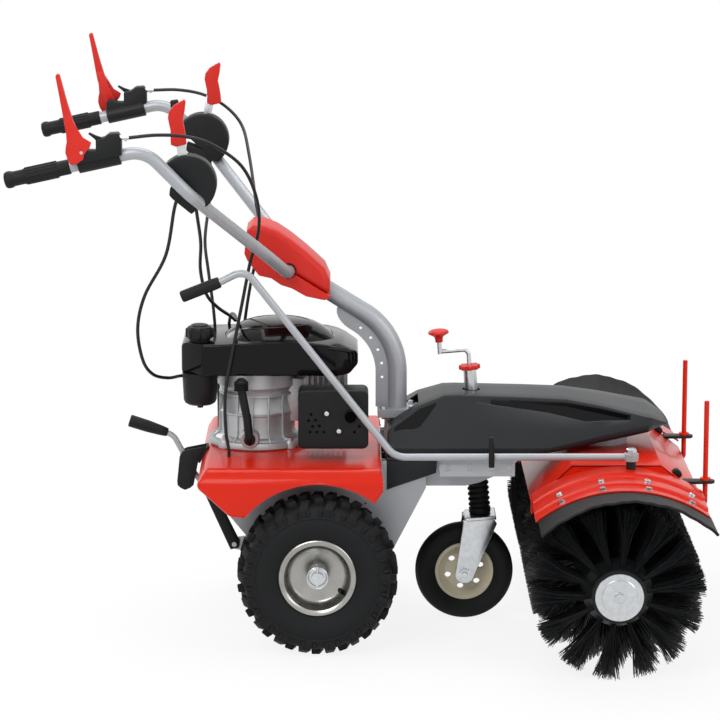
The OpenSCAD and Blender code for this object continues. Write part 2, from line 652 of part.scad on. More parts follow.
// Black shroud over the flywheel
shroud_hw = 118;
shroud_t = 3;
shroud_rear = -284;
shroud_front = 84;
shroud_side = [[shroud_rear, 606], [-276, 614], [-200, 615], [-60, 622], [20, 614], [58, 604],
    [shroud_front, 590], [shroud_front, 566], [66, case_top], [shroud_rear, case_top]];
shroud_plan = [[shroud_rear, -72], [-240, -shroud_hw], [52, -shroud_hw], [shroud_front, -76],
    [shroud_front, 76], [52, shroud_hw], [-240, shroud_hw], [shroud_rear, 72]];
lid_x = -82;
lid_r = 117;
lid_low = 596;
lid_side = [[0, lid_low], [lid_r, lid_low], [lid_r - 8, lid_top - 32], [lid_r - 40, lid_top - 8],
    [lid_r - 80, lid_top], [0, lid_top]];
filler_x = -246;
filler_y = -66;
filler_d = fuel_cap_d - 8;
module shroud_solid(t) {
    intersection() {
        translate([0, shroud_hw, 0]) rotate([90, 0, 0]) linear_extrude(2 * shroud_hw)
            offset(delta = -t) polygon(shroud_side);
        translate([0, 0, 400]) linear_extrude(400) offset(delta = -t) polygon(shroud_plan);
    }
    translate([lid_x, 0, 0]) rotate_extrude() polygon([for (p = lid_side) [max(p[0] - t, 0), p[1] - t]]);
}
module blower_shroud() place() color(black) difference() {
    shroud_solid(0);
    shroud_solid(shroud_t);
    along_z(crankshaft_x, 0, case_top - 1, case_top + shroud_t + 1, crank_shaft_d + 20);
    along_z(filler_x, filler_y, case_top - 1, lid_top, filler_d + 2 * gap);
}

// Fuel tank: a bowl under the shroud's end and a neck up to the cap
bowl_d = 74;
bowl_low = 480;
neck_top = 623;
cap_h = 30;
cap_lobes = 8;
module fuel_tank() place() color(black) translate([filler_x, filler_y, 0]) {
    rotate_extrude() polygon([[0, bowl_low], [bowl_d / 2 - 8, bowl_low], [bowl_d / 2 - 3, bowl_low + 8],
        [bowl_d / 2, case_top], [filler_d / 2, case_top], [filler_d / 2, neck_top - 4],
        [filler_d / 2 - 4, neck_top - 4], [filler_d / 2 - 4, neck_top], [0, neck_top]]);
    translate([0, 0, bowl_low - 8]) cylinder(d = 13, h = 8, $fn = 6);
}
module fuel_cap() place() color(black) translate([filler_x, filler_y, neck_top - 4 + gap]) difference() {
    union() {
        cylinder(d = fuel_cap_d, h = cap_h - 4);
        for (i = [0:cap_lobes - 1]) rotate(360 * i / cap_lobes) translate([fuel_cap_d / 2 - 1, 0, 2])
            cylinder(d = 9, h = cap_h - 9);
        translate([0, 0, 1]) cylinder(d = fuel_cap_d - 16, h = cap_h - 1);
    }
    translate([0, 0, -1]) cylinder(d = filler_d - 8 + 2 * fit, h = 5 + gap);
}

// Oil filler tube with the dipstick's cap
oil_x = -142;
oil_boss_z = 412;
oil_face = 108;
oil_y = -130;
oil_top = case_top - gap - 26;
oil_route = [[oil_x, -oil_face, oil_boss_z], [oil_x, oil_y, oil_boss_z], [oil_x - 4, oil_y, 460],
    [oil_x - 16, oil_y, oil_top]];
module oil_filler() place() color(black) {
    sweep(rounded_path(oil_route, 20, 4), 18, 12);
    translate([oil_route[3][0], oil_y, oil_top - 2]) cylinder(d = 30, h = 26);
}

// Muffler can beside the cylinder, behind a perforated guard
guard_x0 = -40;
guard_x1 = 105;
guard_low = 412;
guard_top = 535;
guard_y = -200;
guard_back = -134;
guard_t = 2;
guard_gap = 7;
pipe_d = 30;
outlet = [68, 481];
outlet_d = 24;
guard_screws = [[19, 487], [44, 450]];
guard_holes = [[-13, 485], [-18, 472], [-4, 473], [-10, 460], [4, 461], [-15, 448], [-1, 448], [13, 448],
    [86, 460], [76, 448]];
module muffler() place() color(alloy) {
    box(guard_x0 + guard_gap, guard_x1 - guard_gap, guard_y + guard_gap, guard_back, guard_low + guard_gap,
        guard_top - guard_gap);
    along_y(22, 470, guard_back - 1, -barrel_hw, pipe_d);
    for (p = guard_screws) along_y(p[0], p[1], guard_y + guard_t, guard_y + guard_gap + 1, 10);
    along_y(outlet[0], outlet[1], guard_y - 8, guard_y + guard_gap + 1, outlet_d);
}
module muffler_guard() place() color(black) difference() {
    box(guard_x0, guard_x1, guard_y, guard_back, guard_low, guard_top);
    box(guard_x0 + guard_t, guard_x1 - guard_t, guard_y + guard_t, guard_back + 1, guard_low + guard_t,
        guard_top - guard_t);
    along_y(outlet[0], outlet[1], guard_y - 9, guard_y + 9, outlet_d + 2 * gap);
    for (p = guard_holes) along_y(p[0], p[1], guard_y - 1, guard_y + 9, 7);
}

// Wheel transmission around the axle, with the rear lever's pivot arm
gear_hw = 62;
gear_rear = -88;
gear_low = axle_z - 57;
gear_top = axle_z + 80;
rear_pivot_x = -178;
rear_pivot_z = 172;
rear_y = -44;
rear_pin_d = 10;
rear_arm_t = 8;
rear_bar_t = 6;
rear_arm_y = rear_y + rear_bar_t / 2 + gap;
module transmission_case() place() color(alloy) difference() {
    union() {
        slab(-gear_hw, gear_hw, [[gear_rear, axle_z - 35], [-60, gear_low], [60, gear_low],
            [bulkhead_x - 28, axle_z - 15], [bulkhead_x, bulkhead_low + 12], [bulkhead_x, bulkhead_low + 50],
            [bulkhead_x - 28, bulkhead_low + 50], [40, gear_top], [-40, gear_top], [gear_rear, axle_z + 35]]);
        along_y(0, axle_z, -gear_hw - 14, gear_hw + 14, 70);
        slab(rear_arm_y, rear_arm_y + rear_arm_t, [[gear_rear + 4, axle_z - 23], [gear_rear + 4, axle_z + 31],
            [rear_pivot_x, rear_pivot_z + 12], [rear_pivot_x - 12, rear_pivot_z],
            [rear_pivot_x, rear_pivot_z - 12]]);
        along_y(rear_pivot_x, rear_pivot_z, rear_y - 8, rear_arm_y + 1, rear_pin_d);
    }
    along_y(0, axle_z, -frame_w, frame_w, axle_d + 2 * fit);
}

// Flanged bearings inside the side plates
bearing_t = 14;
bearing_bolt_d = 8;
bearing_bolt_x = [-44, 44];
bearing_bolt_z = 0;
module axle_bearings() place() color(zinc) both() difference() {
    union() {
        along_y(0, axle_z, frame_hw - plate_t - bearing_t, frame_hw - plate_t, 78);
        along_y(0, axle_z, frame_hw - plate_t - bearing_t, frame_hw + 4, bearing_d - 2 * fit);
        for (x = bearing_bolt_x)
            along_y(x, axle_z + bearing_bolt_z, frame_hw - plate_t - 6, frame_hw - plate_t, 28);
    }
    along_y(0, axle_z, frame_hw - 60, frame_hw + 60, axle_d + 2 * fit);
    for (x = bearing_bolt_x) along_y(x, axle_z + bearing_bolt_z, 0, frame_w, bearing_bolt_d + 2 * fit);
}

// Belt with its two pulleys below the deck and the beam
pulley_span = jack_x - crankshaft_x;
belt_lean = asin((driven_pulley_r - engine_pulley_r) / pulley_span);
belt_steps = 24;
function arc_points(x, r, a, b) = [for (i = [0:belt_steps]) let (t = a + (b - a) * i / belt_steps)
    [x + r * cos(t), r * sin(t)]];
function belt_loop(out) = concat(
    arc_points(0, engine_pulley_r + out, 90 + belt_lean, 270 - belt_lean),
    arc_points(pulley_span, driven_pulley_r + out, -90 - belt_lean, 90 + belt_lean));
module drive_belt() place() color(black) translate([crankshaft_x, 0, belt_z + 2 + gap])
    linear_extrude(pulley_h - 4 - 2 * gap) difference() {
        polygon(belt_loop(belt_t / 2));
        polygon(belt_loop(-belt_t / 2));
    }
module pulley(r, bore) difference() {
    rotate_extrude() polygon([[0, 0], [r + 6, 0], [r + 6, 2], [r - belt_t / 2 - gap, 2],
        [r - belt_t / 2 - gap, pulley_h - 2], [r + 6, pulley_h - 2], [r + 6, pulley_h], [0, pulley_h]]);
    translate([0, 0, -1]) cylinder(d = bore, h = pulley_h + 2);
}
module engine_pulley() place() color(zinc) translate([crankshaft_x, 0, belt_z])
    pulley(engine_pulley_r, crank_shaft_d + 2 * fit);
flywheel_d = 180;
module crankshaft() place() color(zinc) translate([crankshaft_x, 0, 0]) {
    along_z(0, 0, belt_z - 6, case_top + 24, crank_shaft_d);
    along_z(0, 0, belt_z - 12, belt_z, crank_shaft_d + 14);
    along_z(0, 0, case_top + 12, case_top + 36, flywheel_d);
    for (i = [0:11]) rotate(30 * i) box(44, flywheel_d / 2 - 2, -2, 2, case_top + 35, case_top + 56);
}
module driven_pulley() place() color(zinc) translate([jack_x, 0, 0]) {
    translate([0, 0, belt_z]) pulley(driven_pulley_r, jack_d - 2);
    along_z(0, 0, belt_z, beam_top + 30, jack_d);
}

// Cast bevel housing on the beam, from the driven pulley to the king pin
housing_hw = 46;
housing_h = 54;
nut_d = 60;
nut_h = 12;
module drive_housing() place() color(alloy) difference() {
    union() {
        along_z(jack_x, 0, beam_top, beam_top + housing_h, 84);
        along_z(brush_x, 0, beam_top, beam_top + housing_h, 100);
        along_x(jack_x, brush_x, 0, beam_top + housing_h / 2, 50);
        box(jack_x, brush_x, -housing_hw / 2, housing_hw / 2, beam_top, beam_top + 20);
    }
    along_z(jack_x, 0, beam_top - 1, beam_top + 32, jack_d + 2 * fit);
    along_z(brush_x, 0, beam_top - 1, beam_top + nut_h + 2, nut_d + 4);
}

// Linch-pinned axle that carries both drive wheels
hub_d = 36;
hub_out = 40;
hub_in = 60;
hub_face = track / 2 + hub_out;
washer_t = 3;
pin_y = hub_face + washer_t + 5;
axle_end = pin_y + 9;
hub_pin_d = 6;
hub_pin_len = 46;
module axle_shaft() place() color(zinc) difference() {
    along_y(0, axle_z, -axle_end, axle_end, axle_d);
    both() along_z(0, pin_y, axle_z - axle_d, axle_z + axle_d, hub_pin_d + 2 * fit);
}
module hub_pins() place() color(zinc) both() {
    difference() {
        along_y(0, axle_z, hub_face, hub_face + washer_t, 44);
        along_y(0, axle_z, hub_face - 1, hub_face + washer_t + 1, axle_d + 2 * fit);
    }
    along_z(0, pin_y, axle_z - hub_pin_len / 2, axle_z + hub_pin_len / 2, hub_pin_d);
    difference() {
        along_y(0, axle_z, pin_y - 2, pin_y + 2, 44);
        along_y(0, axle_z, pin_y - 3, pin_y + 3, 36);
    }
}

// Pressed rim and lugged tyre of a drive wheel, outer side towards +z
rim_seat = rim_d / 2 - 8;
rim_hw = tyre_w / 2 - 12;
rim_t = 3;
module wheel_at() translate([0, -track / 2, axle_z]) rotate([90, 0, 0]) children();
module rim() wheel_at() rotate_extrude($fn = 64) polygon([[axle_d / 2 + fit, -hub_in], [hub_d / 2, -hub_in],
    [hub_d / 2, 4], [rim_seat - 24, 12], [rim_seat - rim_t - 1, 4], [rim_seat - rim_t - 1, -rim_hw],
    [rim_d / 2, -rim_hw], [rim_d / 2, -rim_hw + rim_t], [rim_seat, -rim_hw + rim_t], [rim_seat, rim_hw - rim_t],
    [rim_d / 2, rim_hw - rim_t], [rim_d / 2, rim_hw], [rim_seat - rim_t - 1, rim_hw],
    [rim_seat - rim_t - 1, 10], [rim_seat - 24, 18], [hub_d / 2, 10], [hub_d / 2, hub_out],
    [axle_d / 2 + fit, hub_out]]);
module drive_rims() place() color(zinc) both() rim();
bead = rim_hw - rim_t - gap;
tread_r = tyre_d / 2 - lug_h;
wall_t = 10;
tyre_half = [[rim_seat + gap, bead], [rim_d / 2 + 2, bead], [rim_d / 2 + 14, tyre_w / 2 - 6],
    [rim_d / 2 + 34, tyre_w / 2], [tread_r - 20, tyre_w / 2 - 1], [tread_r - 6, tyre_w / 2 - 8],
    [tread_r, tyre_w / 2 - 20]];
tyre_hollow = [[tread_r - wall_t, tyre_w / 2 - 28], [tread_r - 24, tyre_w / 2 - wall_t],
    [rim_d / 2 + 30, tyre_w / 2 - wall_t], [rim_d / 2 + 8, bead - wall_t], [rim_seat + gap, bead - wall_t]];
function reflect(list) = [for (i = [len(list) - 1:-1:0]) [list[i][0], -list[i][1]]];
lug_fill = 0.62;
module lug_row(z0, z1, phase) translate([0, 0, z0]) linear_extrude(z1 - z0) difference() {
    polygon([for (i = [0:lug_count - 1]) for (e = [[0, 0], [0.06, 1], [lug_fill - 0.06, 1], [lug_fill, 0]])
        let (a = 360 * (i + e[0] + phase) / lug_count, r = tread_r - 3 + e[1] * (lug_h + 3))
        r * [cos(a), sin(a)]]);
    circle(r = tread_r - 5);
}
module tyre() wheel_at() {
    rotate_extrude($fn = 64) polygon(concat(tyre_half, reflect(tyre_half), reflect(tyre_hollow), tyre_hollow));
    lug_row(-tyre_w / 2 + 5, 4, 0);
    lug_row(4, tyre_w / 2 - 5, 0.5);
}
module right_tyre() place() color(black) right() tyre();
module left_tyre() place() color(black) left() tyre();

// Caster with its guide sleeve, height screw, boot, fork and wheel
module caster_sleeve() place() color(zinc) raked() difference() {
    translate([0, 0, sleeve_low]) cylinder(d = sleeve_d, h = sleeve_high - sleeve_low);
    translate([0, 0, sleeve_low - 1]) cylinder(d = stem_d + 2 * fit, h = sleeve_high - sleeve_low - 6);
    translate([0, 0, sleeve_low]) cylinder(d = crank_d + 2 * fit, h = 400);
}
crank_top = on_axis(582);
crank_low = on_axis(330);
module crank_handle() place() color(zinc) raked() {
    translate([0, 0, crank_low]) cylinder(d = crank_d, h = on_axis(560) - crank_low);
    sweep(rounded_path([[0, 0, on_axis(559)], [0, 0, crank_top], [-crank_throw, 0, crank_top]], 14, 5),
        crank_d - 2 * sunk, 16);
    translate([-crank_throw, 0, crank_top - crank_d / 2]) cylinder(d = crank_d, h = 44);
}
module crank_knob() place() color(red) raked() translate([-crank_throw, 0, crank_top + crank_d / 2 + gap])
    difference() {
        rotate_extrude() polygon([[0, 0], [9, 0], [12, 6], [knob_d / 2 - 3, 12], [knob_d / 2, 22],
            [knob_d / 2 - 3, 34], [knob_d / 4, 42], [0, 43]]);
        translate([0, 0, -1]) cylinder(d = crank_d + 2 * fit, h = 36);
    }
lobes = 8;
module lock_ring() place() color(red) raked() translate([0, 0, sleeve_high + gap]) difference() {
    union() {
        cylinder(d = 38, h = ring_h);
        for (i = [0:lobes - 1]) rotate(360 * i / lobes) translate([17, 0, 0]) cylinder(d = 11, h = ring_h);
    }
    translate([0, 0, -1]) cylinder(d = crank_d + 2 * fit, h = ring_h + 2);
}
boot_ribs = 7;
boot_rib = (boot_high - boot_low - 14) / boot_ribs;
boot_bore = sleeve_d + 2 * gap;
module caster_stem() place() color(black) raked() difference() {
    union() {
        translate([0, 0, boot_low - 14]) cylinder(d = stem_d, h = on_axis(420) - boot_low);
        rotate_extrude() polygon(concat([[stem_d / 2 - 2, boot_low], [boot_d / 2, boot_low],
            [boot_d / 2, boot_low + 12]],
            [for (i = [0:boot_ribs - 1]) each [[boot_d / 2 - 4, boot_low + 14 + i * boot_rib],
                [boot_d / 2, boot_low + 14 + (i + 0.5) * boot_rib]]],
            [[boot_d / 2 - 4, boot_high], [boot_bore / 2, boot_high], [boot_bore / 2, boot_low + 22],
                [stem_d / 2 - 2, boot_low + 22]]));
    }
    translate([0, 0, on_axis(300)]) cylinder(d = crank_d + 2, h = 300);
}
caster_x = 310;
caster_z = caster_d / 2;
fork_hw = caster_w / 2 + 5;
fork_t = 6;
crown_t = 10;
crown_len = 66;
crown_z = boot_low - gap - crown_t;
crown_top = caster_foot[2] + boot_low;
caster_bolt_d = 14;
module caster_fork() place() color(zinc) difference() {
    union() {
        raked() translate([0, 0, crown_z]) linear_extrude(crown_t) offset(r = 8)
            square([crown_len - 16, 2 * (fork_hw + fork_t) - 16], center = true);
        both() slab(fork_hw, fork_hw + fork_t, [[caster_x - 20, caster_z - 4], [caster_x, caster_z - 20],
            [caster_x + 20, caster_z - 4], [caster_x + 68, crown_top - 15], [caster_x + 60, crown_top - 3],
            [caster_x - 4, crown_top - 8], [caster_x - 4, crown_top - 17]]);
        along_y(caster_x, caster_z, -fork_hw - fork_t - 8, fork_hw + fork_t + 8, caster_bolt_d);
        both() along_y(caster_x, caster_z, fork_hw + fork_t, fork_hw + fork_t + 6, 24);
    }
    raked() translate([0, 0, crown_z - 20]) cylinder(d = stem_d + 2 * fit, h = 60);
}
caster_seat = 62;
module caster_at() translate([caster_x, 0, caster_z]) rotate([90, 0, 0]) children();
caster_bore = caster_bolt_d / 2 + fit;
module caster_rim() place() color(cream) caster_at() rotate_extrude() polygon([[caster_bore, -fork_hw + gap],
    [18, -fork_hw + gap], [18, -10], [40, -6], [caster_seat - 6, -16], [caster_seat, -16], [caster_seat, 16],
    [caster_seat - 6, 16], [40, 6], [18, 10], [18, fork_hw - gap], [caster_bore, fork_hw - gap]]);
module caster_tyre() place() color(black) caster_at() rotate_extrude($fn = 64) polygon([
    [caster_seat + gap, -15], [caster_seat + 6, -20], [caster_seat + 20, -caster_w / 2],
    [caster_z - 10, -caster_w / 2 + 3],
    [caster_z - 3, -caster_w / 2 + 12], [caster_z, -caster_w / 4 + 4], [caster_z, caster_w / 4 - 4],
    [caster_z - 3, caster_w / 2 - 12], [caster_z - 10, caster_w / 2 - 3], [caster_seat + 20, caster_w / 2],
    [caster_seat + 6, 20], [caster_seat + gap, 15]]);

// Red sheet hood: folded plates in the middle, arched ends with raised bands
hood_mid_x = brush_x + 19;
hood_mid_z = 372 - hood_r;
hood_rear = brush_x - 162;
hood_front = brush_x + 188;
hood_low = 306;
hood_lip = 318;
hood_top = beam_z - 8;
hood_t = 3;
hood_flat = [[hood_rear, hood_low], [brush_x - 80, hood_top], [brush_x + 105, hood_top],
    [hood_front, hood_lip]];
hood_flat_in = [[hood_front, hood_lip - 1.3 * hood_t], [brush_x + 104, hood_top - hood_t],
    [brush_x - 78, hood_top - hood_t], [hood_rear + 2, hood_low - 1.3 * hood_t]];
hood_half = hood_len / 2;
brush_clear = brush_d / 2 + 8;
band_h = 6;
module arch(y0, y1, r) difference() {
    along_y(hood_mid_x, hood_mid_z, y0, y1, 2 * r);
    along_y(hood_mid_x, hood_mid_z, y0 - 1, y1 + 1, 2 * (r - hood_t));
    box(0, hood_rear, y0 - 1, y1 + 1, -hood_r, 2 * hood_r);
    box(hood_front, 2 * brush_x, y0 - 1, y1 + 1, -hood_r, 2 * hood_r);
    box(0, 2 * brush_x, y0 - 1, y1 + 1, -2 * hood_r, hood_mid_z);
}
module arch_wall(y, r0, r1) intersection() {
    difference() {
        along_y(hood_mid_x, hood_mid_z, y, y + hood_t, 2 * r1);
        along_y(hood_mid_x, hood_mid_z, y - 1, y + hood_t + 1, 2 * r0);
    }
    box(hood_rear, hood_front, y - 1, y + hood_t + 1, hood_mid_z + 100, 2 * hood_r);
}
rod_foot_x = brush_x + 40;
rod_foot_d = 40;
rod_pin_d = 12;
rod_eye_h = 16;
band_y = [hood_mid / 2, hood_half - 105, hood_half - 42, hood_half];
module hood_end() {
    arch(band_y[0], band_y[1] + hood_t, hood_r + 2 * band_h);
    arch_wall(band_y[1], hood_r + band_h - hood_t, hood_r + 2 * band_h);
    arch(band_y[1], band_y[2] + hood_t, hood_r + band_h);
    arch_wall(band_y[2], hood_r - hood_t, hood_r + band_h);
    arch(band_y[2], band_y[3], hood_r);
    slab(band_y[0] - hood_t, band_y[0], concat(hood_flat, [[hood_front, hood_low - 24]],
        [for (a = [40:20:140]) [brush_x + brush_clear * cos(a), brush_z + brush_clear * sin(a)]],
        [[hood_rear, hood_low - 24]]));
}
module brush_hood() place() color(red) difference() {
    union() {
        slab(-hood_mid / 2, hood_mid / 2, concat(hood_flat, hood_flat_in));
        both() hood_end();
        along_z(rod_foot_x, -rod_y, hood_r + hood_mid_z - 8, rod_z - rod_eye_h / 2 - gap, rod_foot_d);
        along_z(rod_foot_x, -rod_y, rod_z - rod_eye_h, rod_z + rod_eye_h / 2 + 2, rod_pin_d);
    }
    along_y(brush_x, brush_z, -hood_half, hood_half, 2 * brush_clear);
    along_z(brush_x, 0, hood_top - 9, hood_top + 1, king_d + 2 * fit);
    at_hood_bolts() translate([0, 0, -30]) cylinder(d = hood_bolt_d + 2 * fit, h = 60);
}

// Rubber flaps that widen the hood over the brush's ends
flap_t = 5;
flap_lap = 30;
flap_r = hood_r - hood_t - 2 * gap;
flap_steps = 36;
flap_half = (hood_front + 6 - hood_rear - 4) / 2;
function flap_section(rise) = [[flap_r - flap_t, 0], [flap_r, 0], [flap_r, flap_lap],
    [hood_r - hood_t + rise, flap_lap + flap_len - 4], [hood_r + 4 + rise, flap_lap + flap_len],
    [hood_r + rise - hood_t - flap_t, flap_lap + flap_len], [flap_r - flap_t, flap_lap]];
module flap(rise) intersection() {
    translate([hood_mid_x, -hood_half + flap_lap, hood_mid_z]) {
        rows = [for (i = [0:flap_steps]) let (a = 42 * (2 * i / flap_steps - 1), u = hood_r * sin(a) / flap_half)
            [for (p = flap_section(rise * max(0, 1 - u * u))) [p[0] * sin(a), -p[1], p[0] * cos(a)]]];
        sides = len(rows[0]);
        last = flap_steps * sides;
        skin = [for (i = [0:flap_steps - 1]) for (k = [0:sides - 1])
            let (p = i * sides + k, q = i * sides + (k + 1) % sides)
            each [[p, p + sides, q], [q, p + sides, q + sides]]];
        ends = [[0, 1, 6], [1, 2, 6], [2, 5, 6], [2, 3, 5], [3, 4, 5]];
        far = [for (f = ends) [for (k = [2, 1, 0]) last + f[k]]];
        polyhedron([for (r = rows) each r], concat(skin, ends, far), 2);
    }
    box(hood_rear + 4, hood_front + 6, -brush_len, 0, hood_mid_z + 150, 3 * hood_r);
}
module end_flaps() place() color(black) difference() {
    union() {
        right() flap(right_flap_rise);
        left() flap(left_flap_rise);
    }
    at_hood_bolts() translate([0, 0, -30]) cylinder(d = hood_bolt_d + 2 * fit, h = 60);
}

// Bolts through the hood's arched ends into the flaps
hood_bolt_d = 8;
hood_bolt_angles = [-26, -9, 9, 27];
module at_hood_bolts() both() for (a = hood_bolt_angles)
    translate([hood_mid_x, hood_half - flap_lap / 2, hood_mid_z]) rotate([0, a, 0])
        translate([0, 0, hood_r]) children();
module hood_bolts() place() color(zinc) at_hood_bolts() {
    bolt_head(hood_bolt_d);
    translate([0, 0, -hood_t - flap_t - 4]) cylinder(d = hood_bolt_d, h = hood_t + flap_t + 5);
}

// King pin on top of the hood and the gear casing under it, around the brush shaft
brush_z = brush_d / 2 + 2;
shaft_d = 30;
casing_hw = brush_gap / 2 - 8;
casing_d = 130;
neck_d = 76;
module king_pin() place() color(grey) difference() {
    union() {
        along_z(brush_x, 0, hood_top, beam_z - gap, swivel_d - 4);
        along_z(brush_x, 0, hood_top - hood_t - 1, beam_top + gap + 1, king_d);
        along_z(brush_x, 0, beam_top + gap, beam_top + nut_h, nut_d);
        along_z(brush_x, 0, brush_z, hood_top - hood_t, neck_d);
        along_y(brush_x, brush_z, -casing_hw, casing_hw, casing_d);
    }
    along_y(brush_x, brush_z, -brush_len, brush_len, shaft_d + 2 * fit);
}

// Hook rods on grey tabs at the hood's front, for a collecting box
tab_z = 344;
tab_t = 6;
tab_hw = 16;
hook_y = hood_mid / 2 - hook_inset;
hood_brow = brush_x + 105;
function hood_front_x(z) = hood_brow + (hood_front - hood_brow) * (hood_top - z) / (hood_top - hood_lip);
module box_hooks() place() color(red) both() translate([0, hook_y, 0]) {
    difference() {
        slab(-tab_hw, tab_hw, [[hood_front_x(tab_z), tab_z], [hook_x + hook_front, tab_z],
            [hook_x + hook_front, tab_z + tab_t], [hood_front_x(tab_z + tab_t), tab_z + tab_t]]);
        along_z(hook_x, 0, tab_z - 1, tab_z + tab_t + 1, hook_d + 2 * fit);
    }
    along_z(hook_x, 0, tab_z - 34, hook_top, hook_d);
    sweep(rounded_path([[hook_x, 0, tab_z - 33], [hook_x, 0, tab_z - 44], [hook_x - 32, 0, tab_z - 52]], 8, 3),
        hook_d - 2 * sunk, 12);
    translate([hook_x, 0, tab_z + tab_t + gap]) cylinder(d = 22, h = 5);
}

// Brush shaft with its drum halves and end caps
brush_half = brush_len / 2;
cap_d = 98;
cap_t = 10;
module brush_shaft() place() color(black) translate([brush_x, 0, brush_z]) {
    along_y(0, 0, -brush_half + 2, brush_half - 2, shaft_d);
    both() {
        along_y(0, 0, brush_gap / 2, brush_half - cap_t, drum_d);
        along_y(0, 0, brush_half - cap_t, brush_half, cap_d);
        along_y(0, 0, brush_half - 1, brush_half + 4, 70);
        translate([0, brush_half + 4, 0]) rotate([-90, 0, 0]) bolt_head(12);
    }
}

// Bristles: a sleeve around the drum with staggered rows of splayed tufts, as one closed surface
sleeve_t = 6;
tuft_share = 0.42;
tuft_splay = 1.35;
columns = 2 * tufts_round;
sleeve_in = (drum_d / 2 + gap) / cos(180 / columns);
sleeve_out = sleeve_in + sleeve_t;
bristle_margin = 10;
row_pitch = (brush_half - brush_gap / 2 - 2 * bristle_margin) / tuft_rows;
function column_angle(c, row) = 360 / tufts_round * (floor(c / 2) + (c % 2) * tuft_share + (row % 2) / 2);
function turned(a, r, y) = [r * cos(a), y, r * sin(a)];
function edge_y(e) = let (row = floor(e / 2))
    brush_gap / 2 + bristle_margin + row_pitch * (row + 0.5 + (e % 2 - 0.5) * tuft_share);
edges = 2 * tuft_rows;
first_y = brush_gap / 2 + gap;
last_y = brush_half - cap_t - gap;
function ring(r, y, row) = [for (c = [0:columns - 1]) turned(column_angle(c, row), r, y)];
function tuft(row, i) =
    let (a = column_angle(2 * i, row), b = column_angle(2 * i + 1, row), m = (a + b) / 2, y = (edge_y(2 * row)
        + edge_y(2 * row + 1)) / 2, w = row_pitch * tuft_share * tuft_splay / 2)
    [turned(m - (b - a) * 0.45, brush_d / 2, y - w), turned(m + (b - a) * 0.45, brush_d / 2, y - w),
        turned(m + (b - a) * 0.45, brush_d / 2, y + w), turned(m - (b - a) * 0.45, brush_d / 2, y + w)];
module bristle_half() {
    rings = concat([ring(sleeve_in, first_y, 0), ring(sleeve_out, first_y, 0)],
        [for (e = [0:edges - 1]) ring(sleeve_out, edge_y(e), floor(e / 2))],
        [ring(sleeve_out, last_y, tuft_rows - 1), ring(sleeve_in, last_y, tuft_rows - 1)]);
    n_rings = len(rings);
    tips = [for (row = [0:tuft_rows - 1]) for (i = [0:tufts_round - 1]) each tuft(row, i)];
    base = n_rings * columns;
    is_tuft = function (r, c) r >= 2 && r < n_rings - 2 && r % 2 == 0 && c % 2 == 0;
    skin = [for (r = [0:n_rings - 1]) for (c = [0:columns - 1])
        let (d = (c + 1) % columns, s = (r + 1) % n_rings)
        let (p = r * columns + c, q = r * columns + d, u = s * columns + d, v = s * columns + c)
        if (!is_tuft(r, c)) each [[p, q, u], [p, u, v]]];
    sides = [for (row = [0:tuft_rows - 1]) for (i = [0:tufts_round - 1])
        let (r = 2 * row + 2, c = 2 * i, d = (c + 1) % columns, t = base + 4 * (row * tufts_round + i))
        let (f = [r * columns + c, r * columns + d, (r + 1) * columns + d, (r + 1) * columns + c])
        each concat([for (k = [0:3]) let (n = (k + 1) % 4) each [[f[k], f[n], t + n], [f[k], t + n, t + k]]],
            [[t, t + 1, t + 2], [t, t + 2, t + 3]])];
    translate([brush_x, 0, brush_z]) polyhedron(concat([for (r = rings) each r], tips), concat(skin, sides), 2);
}
module right_bristles() place() color(black) left() bristle_half();
module left_bristles() place() color(black) right() bristle_half();

// Steering rod with its grip, and its hook over the notched plate
rod_end = [-268, -rod_y, 742];
rod_end_dip = 21.5;
rod_grip_len = 84;
hook_place = 355;
rod_bends = [[hook_place - 59, -rod_y, rod_z], [158, -rod_y, rod_z], [-145, -rod_y, 796], [-192, -rod_y, 772],
    rod_end];
module steering_rod() place() color(grey) {
    difference() {
        union() {
            along_z(rod_foot_x, -rod_y, rod_z - rod_eye_h / 2, rod_z + rod_eye_h / 2, 30);
            along_x(hook_place - 60, rod_foot_x - 8, -rod_y, rod_z, rod_d);
        }
        along_z(rod_foot_x, -rod_y, rod_z - 30, rod_z + 30, rod_pin_d + 2 * fit);
    }
    sweep(rounded_path(rod_bends, 45, 5), rod_d - 2 * sunk, 16);
    slab(-rod_y - rod_d / 2 - 6, -rod_y - rod_d / 2 + 2, [[hook_place - 6, rod_z - 20],
        [hook_place + 6, rod_z - 20], [hook_place + 6, rod_z + 20], [hook_place + 3, rod_z + 44],
        [hook_place - 5, rod_z + 44], [hook_place - 6, rod_z + 20]]);
    translate(rod_end) rotate([0, 90 - rod_end_dip, 0]) translate([0, 0, -6])
        cylinder(d = rod_d + 9, h = rod_grip_len);
}

// Notched plate that the hook drops into, on the right side of the beam
notch_x0 = 250;
notch_x1 = 404;
notch_y = 242;
notch_low = 364;
notch_top = 389;
notch_w = 10;
notch_places = [267, 312, 356, 392];
module notch_plate() place() color(grey) difference() {
    union() {
        box(notch_x0, notch_x1, -notch_y, -notch_y + plate_t, notch_low, notch_top);
        box(notch_x0, notch_x1, -notch_y, -beam_hw, notch_low, notch_low + plate_t);
        box(notch_x0, 380, -beam_hw - plate_t, -beam_hw, notch_low - 10, notch_low + 2);
    }
    for (x = notch_places) box(x - notch_w / 2, x + notch_w / 2, -notch_y - 1, -notch_y + plate_t + 1,
        notch_top - 14, notch_top + 1);
}

